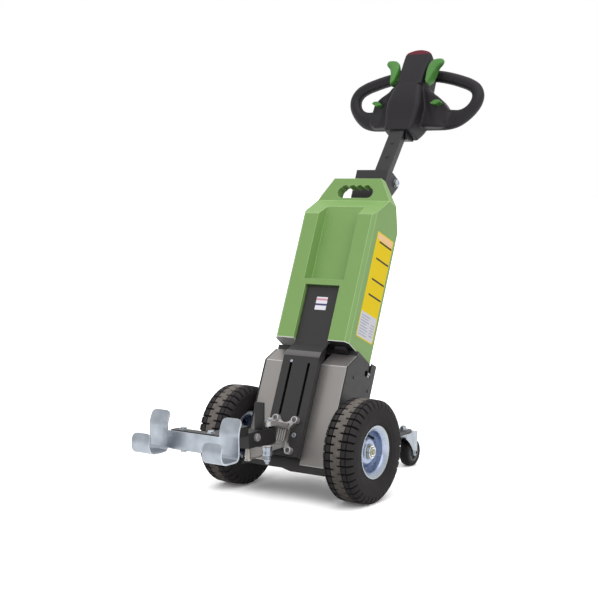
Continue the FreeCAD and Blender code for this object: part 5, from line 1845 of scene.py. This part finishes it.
    def build(self) -> None:
        """Makes the coupling's and the gripper's pieces."""
        soften_node("coupling_casting", "chassis", "cast_metal", Coat.CAST, width=1.6,
                    segments=3, angle=28.0, smooth=42.0)
        add_piece("lug_rims", self.lug_rims(), "chassis", "cast_metal", Coat.CAST)
        add_piece("lug_screws", self.lug_bolts(), "chassis", "zinc", Coat.SCREW)
        add_piece("arm_bolt", self.arm_bolt(), "chassis", "cast_metal", Coat.CAST, bevel=0.2)
        add_piece("pin_and_sleeve", self.pin(), "chassis", "zinc", Coat.ZINC,
                  replaces=["coupling_pin"])
        for node, coat in (("drawbar", Coat.SHADED_BLACK_PAINT), ("upright_plate", Coat.SHADED_BLACK_PAINT),
                           ("gripper_crossbar", Coat.BLACK_PAINT)):
            soften_node(node, "towing_gear", "black_paint", coat, width=1.2)
        add_piece("tongue_nut", self.side_nut(), "towing_gear", "brass_fitting", Coat.DULL,
                  bevel=0.3)
        add_piece("latch_pull", self.plunger(), "towing_gear", "brass_fitting", Coat.FITTING,
                  replaces=["latch_plunger"])
        gripper = joined([both_sides(self.hook()), self.cross_bar()])
        add_piece("gripper_sheet", gripper, "towing_gear", "zinc", Coat.ZINC, smooth=30.0,
                  bevel=0.7, replaces=["gripper_plate"], bevel_angle=50.0)
        add_piece("clamp_bolts", self.clamp_bolts(), "towing_gear", "zinc", Coat.ZINC,
                  bevel=0.3, replaces=["gripper_bolts"])


# ---- tiller
@dataclass
class Tiller:
    """Tube, moulded head with its loop handle, levers and the safety button."""

    tube_lean: float = 37.0
    head_lean: float = 31.0
    loop_lean: float = 20.0
    head_base: Triple = (0.0, 485.0, 938.5)
    loop_base: Triple = (0.0, 563.7, 938.5)
    pivot: Triple = (0.0, 396.12, 788.27)
    step_height: float = 146.0
    end_front: float = 250.0
    end_slope: float = 0.35
    slope_from: float = -3.0
    tube_span: Pair = (14.0, 262.0)
    loop_widest: float = 198.5
    loop_bottom: float = 27.0
    loop_rise: float = 139.0
    loop_radius: float = 17.0
    blade_half: float = 30.0
    blade_from: float = 120.0
    blade_to: float = 0.97
    blade_height: float = 40.0
    button_half: float = 42.0
    button_front: float = -5.0
    button_back: float = 57.0
    button_rim: float = 2.5
    button_crown: float = 13.9
    voxel: float = 2.0
    smoothing: float = 0.5
    smoothing_rounds: int = 22

    def on_head(self, shell: Shell) -> Shell:
        """A shell drawn with the head's front at y = 0, leaned into place."""
        return shell.moved(turned_about_x(self.head_lean, self.head_base))

    def on_loop(self, shell: Shell) -> Shell:
        """A shell drawn in the loop's plane, leaned into place."""
        return shell.moved(turned_about_x(self.loop_lean, self.loop_base))

    def on_tube(self, shell: Shell) -> Shell:
        """A shell drawn about the pivot, tube upright, leaned into place."""
        return shell.moved(turned_about_x(self.tube_lean, self.pivot))

    def head_rings(self, keys: Sequence[Sequence[float]], heights: Array,
                   lift: Callable[[Array, Array], Array] | None = None) -> Shell:
        """Round-cornered rings stacked up the head.

        Args:
            keys: Rows of (height, half width, front, back, corner radius).
            heights: Heights of the rings.
            lift: Function of (height, depth) that gives a point's real height.

        Returns:
            The closed stack.
        """
        flat = np.stack([soft_corners(rectangle(-half, half, front, back), corner * 1.5, 9)
                         for half, front, back, corner in eased(keys, heights)])
        z = heights[:, None] + 0 * flat[..., 0]
        if lift is not None:
            z = lift(z, flat[..., 1])
        return lattice(np.concatenate([flat, z[..., None]], -1), cap=True)

    def lower_head(self) -> Shell:
        """Lower part of the head, up to the cover plate.

        Returns:
            The closed part.
        """
        keys = [(0, 43, 0, 62, 6), (30, 47, -3, 80, 8), (60, 52, -9, 90, 11),
                (85, 54, -14, 92, 13), (108, 50, -15.5, 90, 13), (146, 43, -14.5, 83, 11)]
        return self.on_head(self.head_rings(keys, np.linspace(0, self.step_height, 24)))

    def upper_head(self) -> Shell:
        """Cover part of the head, cut off along its sloping end.

        Returns:
            The closed part.
        """
        end = self.end_front

        def sloping(height: Array, depth: Array) -> Array:
            """Height drawn down towards the end's slope, by the square of its share."""
            share = np.clip((height - self.step_height) / (end - self.step_height), 0, 1)
            return height - share ** 2 * self.end_slope * (depth - self.slope_from)

        keys = [(146, 41.8, -12.0, 82, 10), (187, 41, -10.8, 75, 8), (242, 43, -6, 62, 6),
                (260, 42.5, -4, 57, 5)]
        heights = np.linspace(self.step_height, end, 16)
        return self.on_head(self.head_rings(keys, heights, sloping))

    def button_pad(self) -> Shell:
        """Red button over the sloping end.

        Its top stands rim + crown (1 - (x / half)^2) above the slope; each ring lies at
        a share of the outline's size and climbs a share of that height, so that the
        edge rolls over within a few millimetres.

        Returns:
            The closed button.
        """
        half, front, back = self.button_half, self.button_front, self.button_back
        outline = filled(soft_corners(rectangle(-half, half, front, back), 9, 9), 4.0)
        centre = np.array([0.0, (front + back) / 2])
        shares = np.array([1.0, 1.0, 0.9975, 0.99, 0.98, 0.966, 0.95, 0.92, 0.87, 0.8, 0.7,
                           0.55, 0.38, 0.2, 0.0])
        climb = np.array([0.0, 0.55, 0.70, 0.81, 0.89, 0.945, 0.98, 0.995, 1.0, 1.0, 1.0,
                          1.0, 1.0, 1.0, 1.0])
        flat = centre + (outline - centre)[None] * shares[:, None, None]
        bulge = 1 - np.clip(np.abs(flat[..., 0]) / half, 0, 1) ** 2
        top = self.button_rim + self.button_crown * bulge
        base = self.end_front - self.end_slope * (flat[..., 1] - self.slope_from)
        z = base + climb[:, None] * top
        grid = np.concatenate([flat, z[..., None]], -1)
        return self.on_head(lattice(grid, cap=True))

    def loop_path(self, count: int) -> Array:
        """Middle line of the whole handle.

        Args:
            count: How many points it gets.

        Returns:
            The line, from the left root round to the right one, in the loop's plane.
        """
        stations = [(0.0, 0.0), (0.33, 0.0), (0.62, 0.01), (0.75, 0.04), (0.86, 0.12),
                    (0.94, 0.23), (0.99, 0.36), (1.0, 0.52), (0.955, 0.65), (0.84, 0.76),
                    (0.71, 0.83), (0.55, 0.90), (0.36, 0.96), (0.14, 1.0)]
        half = [(self.loop_widest * a, 0.0, self.loop_bottom + self.loop_rise * b)
                for a, b in stations]
        other = [(-x, y, z) for x, y, z in half[1:]][::-1]
        return through(other + half, count)

    def loop(self) -> Shell:
        """Loop handle: ovals along the middle line, tall across the lower bar.

        The oval is (half_width cos t, radius sin t); the half width eases from the
        blade's to the bar's between the blade's end and the widest point.

        Returns:
            The handle.
        """
        path = self.loop_path(260)
        start, end = self.blade_from, self.loop_widest * self.blade_to
        share = np.clip((np.abs(path[:, 0]) - start) / (end - start), 0, 1)
        share = np.where(path[:, 2] < self.loop_bottom + self.blade_height, share, 1.0)
        ease = share * share * (3 - 2 * share)
        half = self.blade_half + (self.loop_radius + 0.5 - self.blade_half) * ease
        ring = circle(1.0, 28)
        profile = np.stack([ring[:, 1] * self.loop_radius + 0 * half[:, None],
                            ring[:, 0] * half[:, None]], -1)
        tangent = unit(np.gradient(path, axis=0))
        across = np.cross(np.array([0.0, 1.0, 0.0]), tangent)
        grid = (path[:, None] + profile[..., 1:] * across[:, None]
                + profile[..., :1] * np.array([0.0, 1.0, 0.0]))
        return self.on_loop(lattice(grid, cap=True))

    def wing(self) -> Shell:
        """Right wing: an outline in the loop's plane, deep beside the head, thin outside.

        Its front stands at -48, 10 further back across the middle and 18 more at the
        outer edge; the chin draws the front back by 18 and the rear forward by 8 over
        the lowest part. Six rings, each a share of the outline's size, round both rims.

        Returns:
            The wing.
        """
        low = self.loop_bottom - self.blade_half
        outline = soft_corners([
            (20, low + 3), (20, low + 130), (54, low + 119), (64, low + 104), (82, low + 95),
            (98, low + 85), (110, low + 72), (120, low + 60), (127, low + 44), (127, low + 14),
            (114, low + 3), (100, low + 2)], [0, 0, 8, 6, 8, 8, 8, 8, 8, 10, 10, 8], 5)
        x = outline[:, 0]
        front = -48 + np.clip((x - 58) / 54, 0, 1) * 10 + np.clip((x - 112) / 15, 0, 1) * 18
        chin = np.clip((low + 18 - outline[:, 1]) / 18, 0, 1) * 18
        rear = 13 - np.clip((low + 16 - outline[:, 1]) / 16, 0, 1) * 8
        centre = np.array([70.0, low + 50])
        shares = np.array([0.90, 0.965, 1.0, 1.0, 0.965, 0.90])
        depth = np.array([0.0, 1.2, 5.0, -5.0, -1.2, 0.0])
        flat = centre + (outline - centre)[None] * shares[:, None, None]
        y = np.where(np.arange(6)[:, None] < 3, (front + chin)[None] + depth[:, None],
                     rear[None] + depth[:, None])
        grid = np.stack([flat[..., 0], y, flat[..., 1]], -1)
        return self.on_loop(lattice(grid, cap=True))

    def moulding(self) -> None:
        """Makes head, wings and loop one moulded body with soft inner corners.

        The shells are remeshed together as one volume, then smoothed, which gives
        each inner corner the round of a moulded part.
        """
        wing = self.wing()
        shell = joined([self.lower_head(), self.loop(), wing, wing.mirrored()])
        piece = add_piece("head_and_loop", shell, "tiller", "black_moulding", Coat.BLACK,
                          replaces=["head_body", "loop_handle", "wing_left", "wing_right"])
        remesh = piece.modifiers.new("one_volume", "REMESH")
        remesh.mode = "VOXEL"
        remesh.voxel_size = self.voxel * MM
        remesh.use_smooth_shade = True
        smooth = piece.modifiers.new("soft_corners", "SMOOTH")
        smooth.factor = self.smoothing
        smooth.iterations = self.smoothing_rounds

    def lever(self) -> Shell:
        """Right thumb lever: a deep leaf whose edges roll over, with a curled horn.

        The outline is drawn in about a middle line towards both faces; the back
        face follows the height, deep along the leaf and thin behind the horn.

        Returns:
            The lever.
        """
        outline = soft_corners([
            (50, 163), (53, 153), (57, 146), (61, 149), (64, 160), (66, 172), (70, 185),
            (75, 198), (84, 208), (92, 214), (92, 223), (88, 228), (72, 229), (58, 226),
            (50, 217), (47, 204), (47, 188), (49, 172)], 6.0, 5)
        height = outline[:, 1]
        middle = np.stack([np.interp(height, [146, 160, 185, 200, 212, 229],
                                     [57, 57, 58, 61, 72, 78]),
                           np.clip(height, 154, 221)], -1)
        shares = np.array([0.30, 0.66, 0.86, 0.96, 1.0, 1.0, 0.93, 0.80, 0.5])
        rear = np.interp(height, [146, 150, 168, 186, 198, 205, 214, 240],
                         [7, 11, 20, 20, 12, 7, 2.5, 1])
        lips = np.array([0.0, 0.7, 2.0, 4.0, 7.5, 0, 0, 0, 0])
        back = np.array([0, 0, 0, 0, 0, 4.0, 1.6, 0.4, 0.0])
        flat = middle + (outline - middle)[None] * shares[:, None, None]
        y = np.where(np.arange(9)[:, None] < 5, -13 + lips[:, None], rear[None] - back[:, None])
        leaf = lattice(np.stack([flat[..., 0], y, flat[..., 1]], -1), cap=True)
        root = prism(soft_corners(rectangle(40, 55, 167, 197), 3.0, 4), 4.0, 15.0, Plane.Y)
        return self.on_head(joined([leaf, root]))

    def seam_shadow_line(self) -> Shell:
        """Dark strip across the front where the cover meets the lower head: a painted shadow line
        at the cover's step.
        """
        return self.on_head(block(-40.5, 40.5, -13.6, -9.0, 145.2, 148.6))

    def slope_button(self) -> Shell:
        """Green button in the wing's upper front: a slanting round-cornered bar.

        Returns:
            The right button.
        """
        outline = soft_corners([(78, 59), (92, 70), (107, 69), (111, 63), (96, 55)],
                               [2, 5, 4, 3, 3], 5)
        return self.on_loop(prism(outline, -51.5, -30, Plane.Y))

    def tube(self) -> Shell:
        """Tube with a front plate that stands a little wider than the tube behind it.

        Returns:
            The tube.
        """
        outline = soft_corners([(-22, -14), (22, -14), (22, -9), (19.5, -8.2), (19.5, 14),
                                (-19.5, 14), (-19.5, -8.2), (-22, -9)],
                               [2.4, 2.4, 0.6, 0.4, 4, 4, 0.4, 0.6], 4)
        return self.on_tube(prism(outline, *self.tube_span, Plane.Z))

    def tube_foot(self) -> Shell:
        """Round foot of the tube about the pivot bolt."""
        foot = soft_corners([(-22, 6.1), (-22, 14), (22, 14), (22, 6.1)], [0.3, 1, 1, 0.3], 3)
        return self.on_tube(revolved(foot, 48))

    def tube_bolts(self) -> Shell:
        """Two domed bolts on the tube's front face."""
        heads = [along(dome_head(6.4, 3.4), (0, -14, z), (0, -1, 0)) for z in (83.0, 131.5)]
        return self.on_tube(joined(heads))

    def pivot_heads(self) -> Shell:
        """Hexagon head and nut of the tilt bolt, on washers.

        Returns:
            Both ends of the bolt.
        """
        head = joined([washer(6.0, 11.0, 2.0), hex_head(16.0, 7.0).shifted(2.0)])
        _, y, z = self.pivot
        return joined([along(head, (side * 50.0, y, z), (side, 0, 0)) for side in (-1, 1)])

    def build(self) -> None:
        """Makes the tiller's pieces."""
        self.moulding()
        add_piece("head_cover", self.upper_head(), "tiller", "black_moulding", Coat.BLACK)
        # painted shadow: a near-black strip at the cover's step
        add_piece("seam_shadow_line", self.seam_shadow_line(), "tiller", "black_moulding", Coat.PAINTED_SHADE)
        add_piece("safety_button", self.button_pad(), "tiller", "red_moulding", Coat.RED,
                  replaces=["belly_button"])
        lever = self.lever()
        for side, shell in (("right", lever), ("left", lever.mirrored())):
            add_piece("lever_" + side, shell, "tiller", "green_moulding", Coat.SHADED_GREEN,
                      smooth=50.0, replaces=["thumb_lever_" + side])
        add_piece("slope_buttons", both_sides(self.slope_button()), "tiller", "green_moulding",
                  Coat.SHADED_GREEN, bevel=1.0, replaces=["wing_buttons"])
        add_piece("tiller_tube_dressed", joined([self.tube(), self.tube_foot()]), "tiller",
                  "black_paint", Coat.BLACK_PAINT, replaces=["tiller_tube"])
        add_piece("tube_bolts", self.tube_bolts(), "tiller", "black_paint", Coat.BLACK_PAINT)
        soften_node("tiller_collar", "tiller", "black_moulding", Coat.BLACK, width=1.5)
        add_piece("tilt_bolt_heads", self.pivot_heads(), "chassis", "zinc", Coat.ZINC,
                  bevel=0.4)


# ---- studio
@dataclass(frozen=True)
class Glow:
    """A soft band of the sky: dark up to its start, at full strength from its end."""

    start: float
    end: float
    strength: float

    def over(self, height: Wire) -> Wire:
        """The band's light where one part of the direction is this large."""
        return height.step(self.start, self.end) * self.strength


@dataclass
class Studio:
    """White floor, soft light and the camera."""

    azimuth: float = 34.13
    pitch: float = 5.376
    lens: float = 79.16
    eye: Triple = (1.8621, -2.7479, 0.8101)
    floor_reach: float = 40.0
    floor_tone: float = 0.24
    floor_seen: float = 0.80
    floor_glow: float = 0.06
    sky: float = 0.33
    dome: Glow = Glow(-0.05, 0.7, 0.48)
    top: Glow = Glow(0.7, 0.96, 1.1)
    left: Glow = Glow(0.2, 0.9, 0.55)
    right: Glow = Glow(0.3, 0.95, 0.65)
    sun_from: Triple = (0.55, -0.5, 1.0)
    sun_strength: float = 1.3
    sun_spread: float = 75.0

    def camera(self) -> None:
        """Makes the camera and sets it."""
        data = bpy.data.cameras.new("camera")
        data.lens = self.lens
        data.sensor_width = 36.0
        made = bpy.data.objects.new("camera", data)
        made.location = self.eye
        made.rotation_euler = (math.radians(90 - self.pitch), 0.0, math.radians(self.azimuth))
        bpy.context.scene.collection.objects.link(made)
        bpy.context.scene.camera = made

    def seen(self, rays: NodeHandle) -> Wire:
        """Where a ray shows the background: straight on, mirrored or through glass."""
        mirrored = rays.out("Is Glossy Ray").maximum(rays.out("Is Transmission Ray"))
        return rays.out("Is Camera Ray").maximum(mirrored)

    def floor(self) -> None:
        """Wide white floor that keeps the shadow and meets the white background."""
        data = bpy.data.meshes.new("studio_floor")
        reach = self.floor_reach
        data.from_pydata([(-reach, -reach, 0), (reach, -reach, 0), (reach, reach, 0),
                          (-reach, reach, 0)], [], [(0, 1, 2, 3)])
        made = bpy.data.objects.new("studio_floor", data)
        bpy.context.scene.collection.objects.link(made)
        material = bpy.data.materials.new("floor_white")
        material.use_nodes = True
        graph = Graph(material.node_tree)
        rays = graph.node("ShaderNodeLightPath")
        seen = self.seen(rays)
        level = seen * self.floor_seen + self.floor_tone
        tone = graph.node("ShaderNodeCombineColor", None, {
            "Red": level, "Green": level, "Blue": level})
        plain = graph.node("ShaderNodeBsdfDiffuse", None, {"Color": tone.out()})
        glow = graph.node("ShaderNodeEmission", None, {
            "Color": (1.0, 1.0, 1.0), "Strength": seen * self.floor_glow})
        both = graph.node("ShaderNodeAddShader", None, {0: plain.out(), 1: glow.out()})
        graph.node("ShaderNodeOutputMaterial", None, {"Surface": both.out()})
        data.materials.append(material)

    def world(self) -> None:
        """White to the camera, a soft grey vault to everything else."""
        world = bpy.data.worlds.new("studio")
        world.use_nodes = True
        graph = Graph(world.node_tree)
        rays = graph.node("ShaderNodeLightPath")
        coords = graph.node("ShaderNodeTexCoord")
        parts = graph.node("ShaderNodeSeparateXYZ", None, {"Vector": coords.out("Generated")})
        across, height = parts.out("X"), parts.out("Z")
        vault = self.dome.over(height) + self.sky + self.top.over(height)
        vault = vault + self.left.over(0.0 - across) + self.right.over(across)
        level = graph.node("ShaderNodeMix", {"data_type": "FLOAT"}, {
            0: self.seen(rays), 2: vault, 3: 1.0}).out()
        back = graph.node("ShaderNodeBackground", None, {
            "Color": (1.0, 1.0, 1.0), "Strength": level})
        graph.node("ShaderNodeOutputWorld", None, {"Surface": back.out()})
        bpy.context.scene.world = world

    def sun(self) -> None:
        """One broad sun lamp."""
        data = bpy.data.lights.new("key", "SUN")
        data.energy = self.sun_strength
        data.angle = math.radians(self.sun_spread)
        made = bpy.data.objects.new("key", data)
        x, y, z = unit(self.sun_from)
        made.rotation_euler = (math.acos(z), 0.0, math.atan2(x, -y))
        bpy.context.scene.collection.objects.link(made)

    def build(self) -> None:
        """Makes the whole studio."""
        self.camera()
        self.floor()
        self.world()
        self.sun()
        bpy.context.scene.view_settings.view_transform = "Standard"


def main() -> None:
    """Builds every sub-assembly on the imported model."""
    logging.basicConfig(level=logging.INFO, format="%(message)s")
    FRAME.update(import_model())
    Chassis().build()
    Battery().build()
    TowingGear().build()
    for side in (-1, 1):
        DriveWheel(side).build()
        Caster(side).build()
    Tiller().build()
    Studio().build()


if __name__ == "__main__":
    main()
